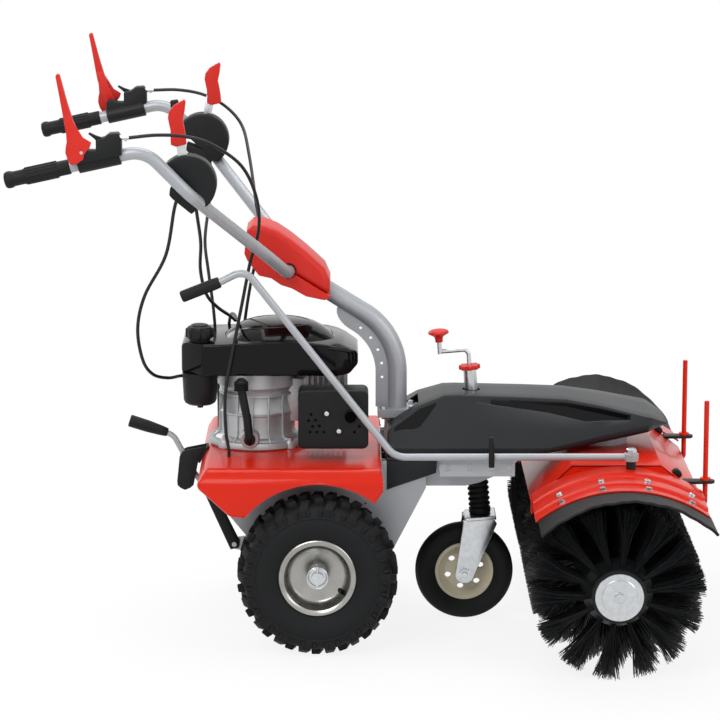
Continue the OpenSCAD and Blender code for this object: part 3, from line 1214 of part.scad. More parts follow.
// Rear lever on the transmission's arm, and the guard plates beside it
lever_tip = [-392, rear_y, 438];
rear_points = [[-232, rear_y, 288], [-262, rear_y, 328], [-282, rear_y, 366], [-304, rear_y, 408], lever_tip];
module rear_lever() place() color(black) difference() {
    union() {
        slab(rear_y - rear_bar_t / 2, rear_y + rear_bar_t / 2, [[rear_pivot_x - 8, rear_pivot_z - 12],
            [rear_pivot_x + 10, rear_pivot_z - 8], [rear_pivot_x + 12, rear_pivot_z + 6],
            [rear_points[0][0] + 6, rear_points[0][2] + 14], [rear_points[0][0] - 14, rear_points[0][2] + 8]]);
        sweep(rounded_path(rear_points, 30, 4), 12, 12);
        translate(lever_tip) rotate([0, 108, 0]) translate([0, 0, -4]) cylinder(d = 26, h = 84);
    }
    along_y(rear_pivot_x, rear_pivot_z, rear_y - 20, rear_y + 20, rear_pin_d + 2 * fit);
}
cheek = 14;
cheek_t = 3;
cheek_base = [[fender_rear + 18, deck_z], [fender_rear, deck_z - 34], [fender_rear - 4, deck_z - 32],
    [fender_rear + 14, deck_z + 2]];
module lever_guard() place() color(black) {
    slab(rear_y - cheek - 6, rear_y + cheek + 6, cheek_base);
    for (e = [-1, 1]) slab(rear_y + e * cheek - cheek_t / 2, rear_y + e * cheek + cheek_t / 2,
        [cheek_base[3], [-290, 376], [-298, 300], [-280, 292], [-262, 300], cheek_base[2]]);
}

// Bolts of the column flange, the engine's feet and the bearings, and the cables' threaded adjusters
module frame_bolts() place() color(zinc) {
    both() along_x(adjuster_x - 6, adjuster_x + 22, lever_y, adjuster_z, adjuster_d);
    both() along_x(adjuster_x + 14, adjuster_x + 18, lever_y, adjuster_z, adjuster_d + 5);
    for (x = [-1, 1]) for (y = [-1, 1]) translate([post_x + x * column_bolt, y * column_bolt, column_low]) {
        bolt_head(column_bolt_d);
        translate([0, 0, -2 * flange_t - 5]) cylinder(d = column_bolt_d, h = 2 * flange_t + 6);
    }
    at_engine_bolts(deck_z + case_foot_h) {
        bolt_head(engine_bolt_d);
        translate([0, 0, -case_foot_h - sheet_t]) cylinder(d = engine_bolt_d, h = case_foot_h + sheet_t + 1);
    }
    both() for (x = bearing_bolt_x) translate([x, frame_hw, axle_z + bearing_bolt_z]) rotate([-90, 0, 0]) {
        bolt_head(bearing_bolt_d);
        translate([0, 0, -plate_t - 6]) cylinder(d = bearing_bolt_d, h = plate_t + 7);
    }
}

chassis_frame();
rear_fender();
front_cover();
handle_column();
clamp_upper_shell();
clamp_lower_shell();
handlebar();
handle_grips();
lever_brackets();
control_pods();
control_cables();
crankcase();
finned_cylinder();
blower_shroud();
fuel_tank();
oil_filler();
muffler();
muffler_guard();
spark_plug();
transmission_case();
axle_bearings();
drive_belt();
drive_housing();
caster_sleeve();
notch_plate();
lever_guard();
frame_bolts();
right_clutch_lever();
left_clutch_lever();
right_lever_latch();
left_lever_latch();
right_gear_lever();
left_gear_lever();
throttle_lever();
rear_lever();
fuel_cap();
crankshaft();
engine_pulley();
driven_pulley();
axle_shaft();
drive_rims();
right_tyre();
left_tyre();
hub_pins();
crank_handle();
crank_knob();
lock_ring();
caster_stem();
caster_fork();
caster_rim();
caster_tyre();
brush_hood();
end_flaps();
hood_bolts();
king_pin();
box_hooks();
brush_shaft();
right_bristles();
left_bristles();
steering_rod();
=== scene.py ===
import bpy
import math
import numpy as np
from mathutils import Matrix, Vector


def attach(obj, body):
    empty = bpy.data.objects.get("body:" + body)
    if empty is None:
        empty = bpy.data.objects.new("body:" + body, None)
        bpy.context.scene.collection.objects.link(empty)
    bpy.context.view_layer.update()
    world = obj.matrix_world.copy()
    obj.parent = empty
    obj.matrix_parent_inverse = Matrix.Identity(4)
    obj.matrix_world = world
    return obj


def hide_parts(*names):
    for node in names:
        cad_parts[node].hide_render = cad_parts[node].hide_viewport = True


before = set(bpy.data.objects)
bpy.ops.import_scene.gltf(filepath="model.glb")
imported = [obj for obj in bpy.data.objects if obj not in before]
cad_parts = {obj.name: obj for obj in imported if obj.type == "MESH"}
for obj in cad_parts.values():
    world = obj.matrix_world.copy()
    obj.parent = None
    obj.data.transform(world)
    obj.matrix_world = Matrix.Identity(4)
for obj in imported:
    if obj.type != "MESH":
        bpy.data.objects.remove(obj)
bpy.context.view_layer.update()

# The studio: a pale floor under soft light, and the camera to the right of the machine, slightly above it.
# Floor and lamps are in metres. All else is in millimetres from the drive axle, as on a drawing, and mm()
# turns it to metres.
AXLE_X = -101.5
LENS, CAMERA_PLACE, CAMERA_DIP, CAMERA_TURN = 162.07, (59, -6699.9, 1882.3), 11.17, -0.25
WHITE, AMBIENT = (1, 1, 1, 1), 0.42
FLOOR_SIZE, FADE_NEAR, FADE_FAR, NEAR_WHITE = 16, 0.8, 2.2, 0.86


def mm(x, y, z):
    return Vector(((x + AXLE_X) / 1000, y / 1000, z / 1000))


def linear(hex_colour):
    parts = [int(hex_colour[i:i + 2], 16) / 255 for i in (1, 3, 5)]
    return [c / 12.92 if c <= 0.04045 else ((c + 0.055) / 1.055) ** 2.4 for c in parts] + [1]


def add_node(owner, kind, links=(), **settings):
    """Adds a node to a material or the world, with its settings, and its inputs as values or links."""
    node = owner.node_tree.nodes.new("ShaderNode" + kind)
    for name, value in settings.items():
        setattr(node, name, value)
    for name, value in dict(links).items():
        if isinstance(value, bpy.types.NodeSocket):
            owner.node_tree.links.new(value, node.inputs[name])
        else:
            node.inputs[name].default_value = value
    return node


def new_material(name, **settings):
    material = bpy.data.materials.new(name)
    material.use_nodes = True
    shader = material.node_tree.nodes["Principled BSDF"]
    for key, value in settings.items():
        shader.inputs[key.replace("_", " ")].default_value = value
    return material, shader


def plug_in(material, socket, shader, name):
    material.node_tree.links.new(socket, shader.inputs[name])


def white_share(owner):
    """1 for a ray from the camera, a mirror or a glass, which meets the white backdrop, and 0 for others."""
    rays = add_node(owner, "LightPath").outputs
    bent = add_node(owner, "Math", {0: rays["Is Glossy Ray"], 1: rays["Is Transmission Ray"]},
                    operation="MAXIMUM")
    seen = add_node(owner, "Math", {0: rays["Is Camera Ray"], 1: bent.outputs[0]}, operation="MAXIMUM")
    return seen.outputs[0]


bpy.ops.object.select_all(action="DESELECT")
camera_data = bpy.data.cameras.new("camera")
camera_data.lens = LENS
camera_data.sensor_width = 36
camera_data.clip_end = 100
camera = bpy.data.objects.new("camera", camera_data)
camera.location = mm(*CAMERA_PLACE)
camera.rotation_euler = (math.radians(90 - CAMERA_DIP), 0, math.radians(CAMERA_TURN))
bpy.context.collection.objects.link(camera)
bpy.context.scene.camera = camera
bpy.context.scene.view_settings.view_transform = "Standard"

world = bpy.context.scene.world or bpy.data.worlds.new("studio")
bpy.context.scene.world = world
world.use_nodes = True
world.node_tree.nodes.clear()
ambient = add_node(world, "Background", {"Color": WHITE, "Strength": AMBIENT})
backdrop = add_node(world, "Background", {"Color": WHITE})
either = add_node(world, "MixShader", {0: white_share(world), 1: ambient.outputs[0], 2: backdrop.outputs[0]})
add_node(world, "OutputWorld", {0: either.outputs[0]})

# Pale matt floor: white to the eye far off, and near the machine just dark enough to keep its soft shadow.
bpy.ops.mesh.primitive_plane_add(size=FLOOR_SIZE)
floor = bpy.context.object
floor.name = "floor"
floor_paint, floor_shader = new_material("pale_floor", Base_Color=linear("#f4f4f4"), Roughness=0.9)
glow = add_node(floor_paint, "Emission", {"Color": WHITE, "Strength": 1.0})
floor_spot = add_node(floor_paint, "TexCoord").outputs["Object"]
away = add_node(floor_paint, "VectorMath", {0: floor_spot}, operation="LENGTH").outputs["Value"]
fade = add_node(floor_paint, "MapRange", {"Value": away, "From Min": FADE_NEAR, "From Max": FADE_FAR,
                                          "To Min": NEAR_WHITE, "To Max": 1.0}).outputs["Result"]
share = add_node(floor_paint, "Math", {0: white_share(floor_paint), 1: fade}, operation="MULTIPLY")
mixed = add_node(floor_paint, "MixShader", {0: share.outputs[0], 1: floor_shader.outputs[0],
                                            2: glow.outputs[0]})
plug_in(floor_paint, mixed.outputs[0], floor_paint.node_tree.nodes["Material Output"], "Surface")
floor.data.materials.append(floor_paint)

for lamp_name, lamp_place, aim, size, power in (("key", (-1.6, -3.4, 3.6), (0, 0, 0.5), 2.6, 105),
                                                ("fill", (3.2, -2.6, 2.2), (0.2, 0, 0.5), 2.4, 45),
                                                ("top", (0.2, 1.2, 4.2), (0, 0, 0.4), 3.0, 85),
                                                ("back", (-2.6, 3.0, 2.4), (0, 0, 0.6), 2.0, 45)):
    lamp_data = bpy.data.lights.new(lamp_name, "AREA")
    lamp_data.size = size
    lamp_data.energy = power
    lamp = bpy.data.objects.new(lamp_name, lamp_data)
    lamp.location = lamp_place
    lamp.rotation_euler = (Vector(lamp_place) - Vector(aim)).to_track_quat("Z", "Y").to_euler()
    bpy.context.collection.objects.link(lamp)

# Drive tyres: black moulded rubber with a chunky block tread, mounted on the rims by their beads.
# The carcass is turned from its section; tread blocks are shaped once and set round it in staggered rows.
TYRE_R, TREAD_R, TRACK, AXLE_Z = 165, 152, 508, 165
SHOULDER_DROP, BLOCK_TAPER = 13, 2.5
GRAIN_STRENGTH = 0.12


def pick(*pieces):
    """Selects these pieces and nothing else, the first one active."""
    bpy.ops.object.select_all(action="DESELECT")
    for piece in pieces:
        piece.select_set(True)
    if pieces:
        bpy.context.view_layer.objects.active = pieces[0]


def tidy_mesh(piece, merge=0.00002):
    """Merges doubled points and turns every face outwards."""
    pick(piece)
    bpy.ops.object.mode_set(mode="EDIT")
    bpy.ops.mesh.select_all(action="SELECT")
    bpy.ops.mesh.remove_doubles(threshold=merge)
    bpy.ops.mesh.delete_loose()
    bpy.ops.mesh.select_all(action="SELECT")
    bpy.ops.mesh.normals_make_consistent(inside=False)
    bpy.ops.object.mode_set(mode="OBJECT")


def modify(piece, kind, **settings):
    """Adds a modifier with its settings and applies it."""
    pick(piece)
    bpy.ops.object.modifier_add(type=kind)
    modifier = piece.modifiers[-1]
    for name, value in settings.items():
        setattr(modifier, name, value)
    bpy.ops.object.modifier_apply(modifier=modifier.name)


def soften(piece, width, segments=2, angle=30):
    """Rounds the edges that turn by more than an angle, with a bevel of a width in mm."""
    modify(piece, "BEVEL", width=width / 1000, segments=segments, limit_method="ANGLE",
           angle_limit=math.radians(angle))


def turned(name, section, centre, axis, steps):
    """A closed section of (radius, along) points in mm, spun round an axis through centre."""
    pick()
    axis = Vector(axis).normalized()
    out = axis.orthogonal().normalized()
    bpy.ops.mesh.primitive_circle_add(vertices=len(section), fill_type="NOTHING")
    piece = bpy.context.object
    piece.name = name
    for vertex, (r, a) in zip(piece.data.vertices, section):
        vertex.co = centre + out * (r / 1000) + axis * (a / 1000)
    bpy.ops.object.mode_set(mode="EDIT")
    bpy.ops.mesh.select_all(action="SELECT")
    bpy.ops.mesh.spin(steps=steps, angle=2 * math.pi, center=centre, axis=axis)
    bpy.ops.object.mode_set(mode="OBJECT")
    tidy_mesh(piece)
    return piece


def both_sides(half):
    """A section from its half: the points up to the middle, and their mirror images back from it."""
    return half + [(r, -a) for r, a in reversed(half[:-1])]


def joined(name, pieces):
    pick(*pieces)
    if len(pieces) > 1:
        bpy.ops.object.join()
    result = bpy.context.object
    result.name = name
    return result


def copies(name, piece, places):
    """One mesh joined from copies of a piece, each turned and moved by a matrix; the pattern piece goes."""
    made = []
    for place in places:
        copy = bpy.data.objects.new(name, piece.data.copy())
        copy.data.transform(place)
        if place.determinant() < 0:
            copy.data.flip_normals()
        bpy.context.collection.objects.link(copy)
        made.append(copy)
    bpy.data.objects.remove(piece)
    return joined(name, made)


def dress(piece, angle, material, slot, body, *nodes):
    """Smooths a finished piece up to an angle, gives it its material and body, and hides the nodes it
    replaces; slot is not used.
    """
    if angle:
        pick(piece)
        bpy.ops.object.shade_smooth_by_angle(angle=math.radians(angle))
    piece.data.materials.clear()
    piece.data.materials.append(material)
    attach(piece, body)
    if nodes:
        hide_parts(*nodes)


def coat(name, deep, pale, patches, sheen, grain, depth, **settings):
    """A finish on object coordinates: two tones in patches, roughness between two limits, and a fine grain.
    Patches and grain are counts to the metre, and the grain's depth is in metres."""
    material, shader = new_material(name, **settings)
    place = add_node(material, "TexCoord").outputs["Object"]
    cloud = add_node(material, "TexNoise", {"Vector": place, "Scale": patches, "Detail": 4.0}).outputs["Fac"]
    tone = add_node(material, "Mix", {"Factor": cloud, "A": linear(deep), "B": linear(pale)},
                    data_type="RGBA")
    haze = add_node(material, "MapRange", {"Value": cloud, "To Min": sheen[0], "To Max": sheen[1]})
    grit = add_node(material, "TexNoise", {"Vector": place, "Scale": grain, "Detail": 3.0}).outputs["Fac"]
    relief = add_node(material, "Bump", {"Height": grit, "Strength": GRAIN_STRENGTH, "Distance": depth})
    plug_in(material, tone.outputs["Result"], shader, "Base Color")
    plug_in(material, haze.outputs["Result"], shader, "Roughness")
    plug_in(material, relief.outputs["Normal"], shader, "Normal")
    return material


# Dull black rubber, greyer in patches where dust lies, with a moulded grain of about 1.5 mm.
tyre_rubber = coat("moulded_tyre_rubber", "#0d0e0f", "#18191b", 28.0, (0.62, 0.80), 650.0, 0.0006,
                   Specular_IOR_Level=0.22)
outer_wall = [(72.4, 48), (80, 49), (84, 54), (93, 58), (100, 62), (112, 63.8), (124, 63.4), (126, 62),
              (129, 63.2), (138, 60), (146, 54), (150, 44), (TREAD_R, 30), (TREAD_R, 0)]
inner_wall = [(73, -40), (100, -52), (140, -48), (146, -30), (146, 30), (140, 48), (100, 52), (73, 40)]
for side, turn in (("right", -1), ("left", 1)):
    middle = mm(0, turn * TRACK / 2, AXLE_Z)
    tyre = [turned("carcass", both_sides(outer_wall) + inner_wall, middle, (0, 1, 0), 96)]
    for kind, count, phase, low, high, inner, reach, slant, wide in (
            ("centre", 18, 0.0, 2, 33, TREAD_R - 8, TYRE_R, 4, 22),
            ("shoulder", 18, 0.5, 36, 62, TREAD_R - 9, TYRE_R - 2, -3, 23),
            ("rib", 36, 0.25, 56, 63.8, 133, 147, 0, 7)):
        pick()
        bpy.ops.mesh.primitive_cube_add(size=1)
        block = bpy.context.object
        for vertex in block.data.vertices:
            x_way, y_way = 1 if vertex.co.x > 0 else -1, 1 if vertex.co.y > 0 else -1
            outer = vertex.co.z > 0
            drop = SHOULDER_DROP if kind == "shoulder" and y_way > 0 else 0
            half = wide / 2 - (BLOCK_TAPER if outer and kind != "rib" else 0)
            vertex.co = ((half * x_way + slant * y_way) / 1000, (high if y_way > 0 else low) / 1000,
                         ((reach if outer else inner) - drop) / 1000)
        soften(block, 1.8)
        places = []
        for half_side in (-1, 1):
            for i in range(count):
                angle = 2 * math.pi * (i + phase + (0.5 if half_side > 0 else 0)) / count
                places.append(Matrix.Translation(middle) @ Matrix.Rotation(angle, 4, "Y") @
                              Matrix.Scale(half_side, 4, (0, 1, 0)))
        tyre.append(copies("tread", block, places))
    tyre = joined(side + "_tyre_dressed", tyre)
    dress(tyre, 40, tyre_rubber, "tyre_rubber", "drive_axle", side + "_tyre")

# Drive rims: pressed steel dishes, bright zinc plated, rolled over at the edge and welded to a hub tube.
# Each dish is turned from its section, and a short black rubber valve stands in it beside the disc.
# Bright plating over pressed steel: a clear metal reflection, hazier in patches of about a centimetre.
zinc_plate = coat("bright_zinc_plate", "#b4b7ba", "#d9dbdd", 90.0, (0.16, 0.32), 900.0, 0.00008, Metallic=1.0)
# Plated rim steel: the same reflection, greyer and a little warm, with wide soft clouds.
rim_steel = coat("plated_rim_steel", "#8a8985", "#b2b1ad", 30.0, (0.18, 0.30), 900.0, 0.00008, Metallic=1.0)
dish = [(12.6, 39.6), (16.8, 39.6), (18, 38.4), (18, 15), (20, 13.4), (32, 13.8), (46, 15.4), (54, 17),
        (59, 19.4), (62.6, 24), (64.6, 32), (66, 42), (68.4, 47.6), (73, 50.6), (78, 51.8), (80, 50.5),
        (79, 49), (73, 48), (71.5, 44), (71.5, -44), (73, -48), (79, -49), (80, -50.5), (79, -51.8),
        (70, -49), (67, -44), (67, 8), (60, 12.6), (50, 11.4), (32, 9.6), (20, 9), (18, 7), (18, -59),
        (12.6, -59)]
valve_section = [(0, 20), (2.2, 19.6), (2.6, 18), (2.6, 8), (4.4, 6), (5, -2), (0, -2)]
rims, valves = [], []
for turn in (-1, 1):
    middle = mm(0, turn * TRACK / 2, AXLE_Z)
    rims.append(turned("rim", [(r, a * turn) for r, a in dish], middle, (0, 1, 0), 96))
    valves.append(turned("valve", valve_section, middle + Vector((0.046, turn * 0.017, -0.033)),
                         (0, turn, 0), 16))
dress(joined("drive_rims_dressed", rims), 30, rim_steel, "zinc_steel", "drive_axle", "drive_rims")
dress(joined("tyre_valves", valves), 40, tyre_rubber, "tyre_rubber", "drive_axle")

# Hub pins: a plated washer on each hub, and a linch pin with a wire ring that keeps the wheel on the axle.
# Washer, pin and ring are turned, one set for each side.
HUB_FACE, RING_R, RING_WIRE = TRACK / 2 + 40, 21.2, 1.4


def arc(x, y, radius, angles):
    """Points of an arc round (x, y), at angles in degrees."""
    return [(x + radius * math.cos(math.radians(a)), y + radius * math.sin(math.radians(a))) for a in angles]


pins = []
for turn in (-1, 1):
    pins += [turned("washer", [(12.6, 0), (22, 0), (22, 2.4), (21, 3), (12.6, 3)],
                    mm(0, turn * HUB_FACE, AXLE_Z), (0, turn, 0), 40),
             turned("pin", [(0, -23), (2.4, -22), (3, -20), (3, 20), (4.5, 21), (4.5, 25), (0, 26)],
                    mm(0, turn * (HUB_FACE + 8), AXLE_Z), (0, 0, 1), 16),
             turned("ring", arc(RING_R, 0, RING_WIRE, range(0, 360, 45)),
                    mm(0, turn * (HUB_FACE + 10.5), AXLE_Z), (0, 1, 0), 40)]
dress(joined("hub_pins_dressed", pins), 35, zinc_plate, "zinc_steel", "drive_axle", "hub_pins")

# Rear fender: red painted sheet steel, folded down at both sides and pressed out in an arch over each tyre.
# Its block is cut from the side outline, sloped by two cuts, opened below, thickened, and arched last.
DECK_Z, FENDER_HW, FENDER_TOP_HW, FENDER_EDGE_Z, FENDER_LOW, FENDER_SHEET = 385, 285, 251, 363, 286, 2.5
ARCH_R, ARCH_FROM, ARCH_LENGTH, LIP = 195, 171, 130, 3


def flat_plate(name, outline, low, high, across="y", edge=1.5, segments=2):
    """An outline in mm, drawn flat and extruded from low to high across it, with its edges rounded over."""
    pick()
    bpy.ops.mesh.primitive_circle_add(vertices=len(outline), fill_type="NGON")
    piece = bpy.context.object
    piece.name = name
    lay, way = {"x": (lambda a, b: mm(low, a, b), (1, 0, 0)),
                "y": (lambda a, b: mm(a, low, b), (0, 1, 0)),
                "z": (lambda a, b: mm(a, b, low), (0, 0, 1))}[across]
    for vertex, (a, b) in zip(piece.data.vertices, outline):
        vertex.co = lay(a, b)
    bpy.ops.object.mode_set(mode="EDIT")
    bpy.ops.mesh.select_all(action="SELECT")
    bpy.ops.mesh.extrude_region_move(TRANSFORM_OT_translate={"value": Vector(way) * ((high - low) / 1000)})
    bpy.ops.mesh.select_all(action="SELECT")
    bpy.ops.mesh.normals_make_consistent(inside=False)
    bpy.ops.object.mode_set(mode="OBJECT")
    if edge:
        soften(piece, edge, segments)
    return piece


def slice_off(piece, point, normal):
    """Cuts a piece with a plane, takes away the side that the normal points to, and closes the cut."""
    pick(piece)
    bpy.ops.object.mode_set(mode="EDIT")
    bpy.ops.mesh.select_all(action="SELECT")
    bpy.ops.mesh.bisect(plane_co=point, plane_no=normal, use_fill=True, clear_outer=True)
    bpy.ops.object.mode_set(mode="OBJECT")


def open_faces(piece, test):
    """Takes away the faces whose normal passes a test, so that a shell is left."""
    pick(piece)
    bpy.ops.object.mode_set(mode="EDIT")
    bpy.ops.mesh.select_all(action="DESELECT")
    bpy.ops.mesh.select_mode(type="FACE")
    bpy.ops.object.mode_set(mode="OBJECT")
    for face in piece.data.polygons:
        face.select = test(face.normal)
    bpy.ops.object.mode_set(mode="EDIT")
    bpy.ops.mesh.delete(type="FACE")
    bpy.ops.mesh.select_mode(type="VERT")
    bpy.ops.object.mode_set(mode="OBJECT")


def cut_with(piece, tool):
    modify(piece, "BOOLEAN", object=tool, operation="DIFFERENCE", solver="EXACT")
    bpy.data.objects.remove(tool)


def bar_section(radius, low, high):
    """The section of a plain round bar, for turned()."""
    return [(0, low), (radius, low), (radius, high), (0, high)]


# Glossy red paint under clear lacquer: even and bright, with a faint ripple as of sprayed sheet metal.
red_paint = coat("red_gloss_paint", "#ca1c03", "#d52406", 9.0, (0.24, 0.34), 260.0, 0.0001,
                 Specular_IOR_Level=0.16, Coat_Weight=0.16, Coat_Roughness=0.06)
fender = flat_plate("fender", [(141, 345), (133, DECK_Z), (-230, DECK_Z), (-248, 351), (-177, FENDER_LOW),
                               (100, FENDER_LOW)], -FENDER_HW, FENDER_HW, edge=0)
for turn in (-1, 1):
    slice_off(fender, mm(0, turn * FENDER_HW, FENDER_EDGE_Z),
              (0, turn * (DECK_Z - FENDER_EDGE_Z), FENDER_HW - FENDER_TOP_HW))
soften(fender, 15, 6, 20)
open_faces(fender, lambda normal: normal.z < -0.9 or normal.x > 0.55)
modify(fender, "SOLIDIFY", thickness=FENDER_SHEET / 1000, offset=-1)
for turn in (-1, 1):
    cut_with(fender, turned("arch", bar_section(ARCH_R, 0, ARCH_LENGTH), mm(0, turn * ARCH_FROM, AXLE_Z),
                            (0, turn, 0), 96))
fender = [fender]
for turn in (-1, 1):
    lip = turned("lip", [(ARCH_R - LIP, FENDER_HW - 9), (ARCH_R - LIP, FENDER_HW), (ARCH_R, FENDER_HW),
                         (ARCH_R + 1, FENDER_HW - 2), (ARCH_R, FENDER_HW - 9)], mm(0, 0, AXLE_Z),
                 (0, turn, 0), 120)
    slice_off(lip, mm(0, 0, FENDER_LOW + 1), (0, 0, -1))
    slice_off(lip, mm(85, 0, FENDER_LOW), (59, 0, -41))
    slice_off(lip, mm(-176, 0, FENDER_LOW), (-65, 0, -71))
    fender.append(lip)
dress(joined("rear_fender_dressed", fender), 30, red_paint, "red_paint", "machine", "rear_fender")

# Front cover: one dark moulded plastic shell that drops over the beam, narrower towards the nose, with side
# skirts. It is lofted through inner sections along the machine, with a scoop sunk in each flank, thickened,
# and cut out round the post and the sleeve; a glossy panel lies in each scoop and at the rear.
COVER_HW, COVER_TOP_HW, COVER_SHOULDER, COVER_TOP, COVER_WALL = 149.3, 65, 402, 498, 3
COVER_REAR, COVER_NOSE, COVER_LENGTH, PANEL_PROUD = 140, 733, 587, 0.7
SKIRT_OUT, SKIRT_IN, SHELF_IN, SHELF_Z, SHELF_TOP = 168.3, 165.3, 147, 379, 384.4
RAKE = math.radians(4.4)
rake_way = Vector((-math.sin(RAKE), 0, math.cos(RAKE)))
FOOT_X, FOOT_Z = 338, 298
foot = mm(FOOT_X, 0, FOOT_Z)


def loft(name, rows):
    """A sheet through rows of points in mm, every row with the same number of points."""
    pick()
    bpy.ops.mesh.primitive_grid_add(x_subdivisions=len(rows[0]) - 1, y_subdivisions=len(rows) - 1)
    piece = bpy.context.object
    piece.name = name
    points = [mm(*point) for row in rows for point in row]
    for vertex, point in zip(piece.data.vertices, points):
        vertex.co = point
    return piece


def along(stations, x):
    return float(np.interp(x, [a for a, b in stations], [b for a, b in stations]))


# Dark grey moulded plastic: half gloss, with soft cloudy sheen and the fine grain of an etched mould.
cover_plastic = coat("dark_cover_plastic", "#15171a", "#1c1f22", 6.0, (0.34, 0.46), 900.0, 0.00012,
                     Specular_IOR_Level=0.24)
# Glossy black enamel: deep and even, with clear reflections under a thin hard coat.
gloss_black = coat("gloss_black_enamel", "#060607", "#0b0c0d", 7.0, (0.10, 0.18), 300.0, 0.00006,
                   Specular_IOR_Level=0.12, Coat_Weight=0.12, Coat_Roughness=0.03)
cover_roof = [(140, 381), (145, 435), (210, 479), (262, 497), (288, COVER_TOP), (430, 494), (520, 490),
              (594, 478), (700, 455), (733, 438)]
cover_sill = [(140, 380.6), (211, 376), (419, 384), (501, 396), (667, 424), (733, 437)]
cover_plan = [(140, COVER_HW), (480, COVER_HW), (690, 112), (733, 60)]
# The scoop's lower edge, as a share of the flank's height, and its depth
scoop_low = [(156, 0.75), (170, 0.66), (205, 0.42), (245, 0.86), (330, 0.86), (480, 0.70), (560, 0.46),
             (640, 0.48), (668, 0.52)]
scoop_depth = [(330, 0), (360, 2), (480, 8), (600, 13), (648, 12), (656, 0)]


def cover_flank(x):
    """Half of a cross-section as (out, up), and the same flank's points for the panel in the scoop."""
    roof, sill = along(cover_roof, x) - COVER_WALL - 0.3, along(cover_sill, x)
    reach = along(cover_plan, x) - COVER_WALL
    slope = (COVER_HW - COVER_TOP_HW) / (COVER_TOP - COVER_SHOULDER)
    inner = COVER_HW - COVER_WALL * math.hypot(1, slope)
    bend = min(max(COVER_SHOULDER + (inner - reach) / slope, sill + 0.6), roof - 0.3)
    crown = min(inner - (roof - COVER_SHOULDER) * slope, reach)
    low, depth = along(scoop_low, x), along(scoop_depth, x)
    away = Vector((roof - bend, reach - crown)).normalized()

    def on_flank(share, sunk):
        return reach + (crown - reach) * share - away[0] * sunk, bend + (roof - bend) * share - away[1] * sunk

    tuck = min(5, max(0, (bend - sill) * 0.4))
    half = [(reach - tuck, sill), (reach, sill * 0.6 + bend * 0.4), (reach, bend), on_flank(low * 0.5, 0),
            on_flank(low, 0), on_flank(low + 0.03, depth), on_flank(0.93, depth), on_flank(0.96, 0),
            (crown, roof), (crown * 0.5, roof + 0.2), (0, roof + 0.3)]
    return half, [on_flank(share, depth - COVER_WALL - PANEL_PROUD) for share in (low + 0.036, 0.924)]


cover_rows, panel_rows, rear_rows = [], {-1: [], 1: []}, {-1: [], 1: []}
for x in (140, 145, 156, 168, 182, 196, 210, 228, 245, 262, 288, 330, 360, 400, 440, 480, 520, 560, 594,
          625, 648, 656, 690, 700, 716, 733):
    half, strip = cover_flank(x)
    spot = COVER_REAR + COVER_WALL + (x - COVER_REAR) * COVER_LENGTH / (COVER_NOSE - COVER_REAR)
    cover_rows.append([(spot, -y, z) for y, z in half] + [(spot, y, z) for y, z in reversed(half[:-1])])
    for turn in (-1, 1):
        if 360 <= x <= 648:
            panel_rows[turn].append([(spot, turn * y, z) for y, z in strip])
        if 156 <= x <= 245:
            rear_rows[turn].append([(spot, turn * y, z) for y, z in strip])
cover = loft("cover", cover_rows)
soften(cover, 2.2, 2, 14)
modify(cover, "SOLIDIFY", thickness=COVER_WALL / 1000, offset=-1)
tidy_mesh(cover, 0.000005)
cut_with(cover, flat_plate("post_room", [(130, -44), (211, -44), (211, 44), (130, 44)], 360, 530, "z",
                           edge=0))
cut_with(cover, turned("sleeve_room", bar_section(19, 150, 240), foot, rake_way, 48))
cover = [cover]
for turn in (-1, 1):
    low, high = sorted((turn * SKIRT_IN, turn * SKIRT_OUT))
    cover.append(flat_plate("skirt", [(143, SHELF_Z), (247, SHELF_Z), (245, 354), (158, 324), (143, 318)],
                            low, high, edge=1))
    low, high = sorted((turn * SHELF_IN, turn * SKIRT_OUT))
    cover.append(flat_plate("shelf", [(143, low), (247, low), (247, high), (143, high)], SHELF_Z, SHELF_TOP,
                            "z", edge=1.4))
dress(joined("front_cover_dressed", cover), 24, cover_plastic, "cover_plastic", "machine", "front_cover")
panels = joined("scoop_panels", [loft("panel", rows[turn]) for rows in (panel_rows, rear_rows)
                                 for turn in (-1, 1)])
modify(panels, "SOLIDIFY", thickness=0.0004, offset=0)
dress(panels, 40, gloss_black, "gloss_black", "machine")

# Handlebar: one steel tube in grey metallic paint, bent into a U and gripped by the clamp at its middle.
# The tube is drawn as a line with rounded corners, given its thickness and turned to a mesh.
BAR_D, BAR_X, BAR_Z, BAR_BEND, BAR_ROOM = 25, -60, 760, 60, 12.6
GRIP_X, GRIP_Y, GRIP_Z, GRIP_LEAN = -604, -400, 998, math.radians(12.3)


def rounded_line(points, radius, steps=8):
    """The points of a bent rod's line, with an arc at each corner."""
    points = [Vector(p) for p in points]
    line = [points[0]]
    for before, corner, after in zip(points, points[1:], points[2:]):
        a, b = (before - corner).normalized(), (after - corner).normalized()
        half = a.angle(b) / 2
        if half > math.radians(89):
            line.append(corner)
            continue
        room = 0.48 * min((before - corner).length, (after - corner).length) * math.tan(half)
        r = min(radius, room)
        middle = corner + (a + b).normalized() * r / math.sin(half)
        start, sweep = corner + a * r / math.tan(half) - middle, math.pi - 2 * half
        turn_axis = start.cross(-a).normalized()
        line += [middle + Matrix.Rotation(sweep * i / steps, 3, turn_axis) @ start for i in range(steps + 1)]
    return line + [points[-1]]


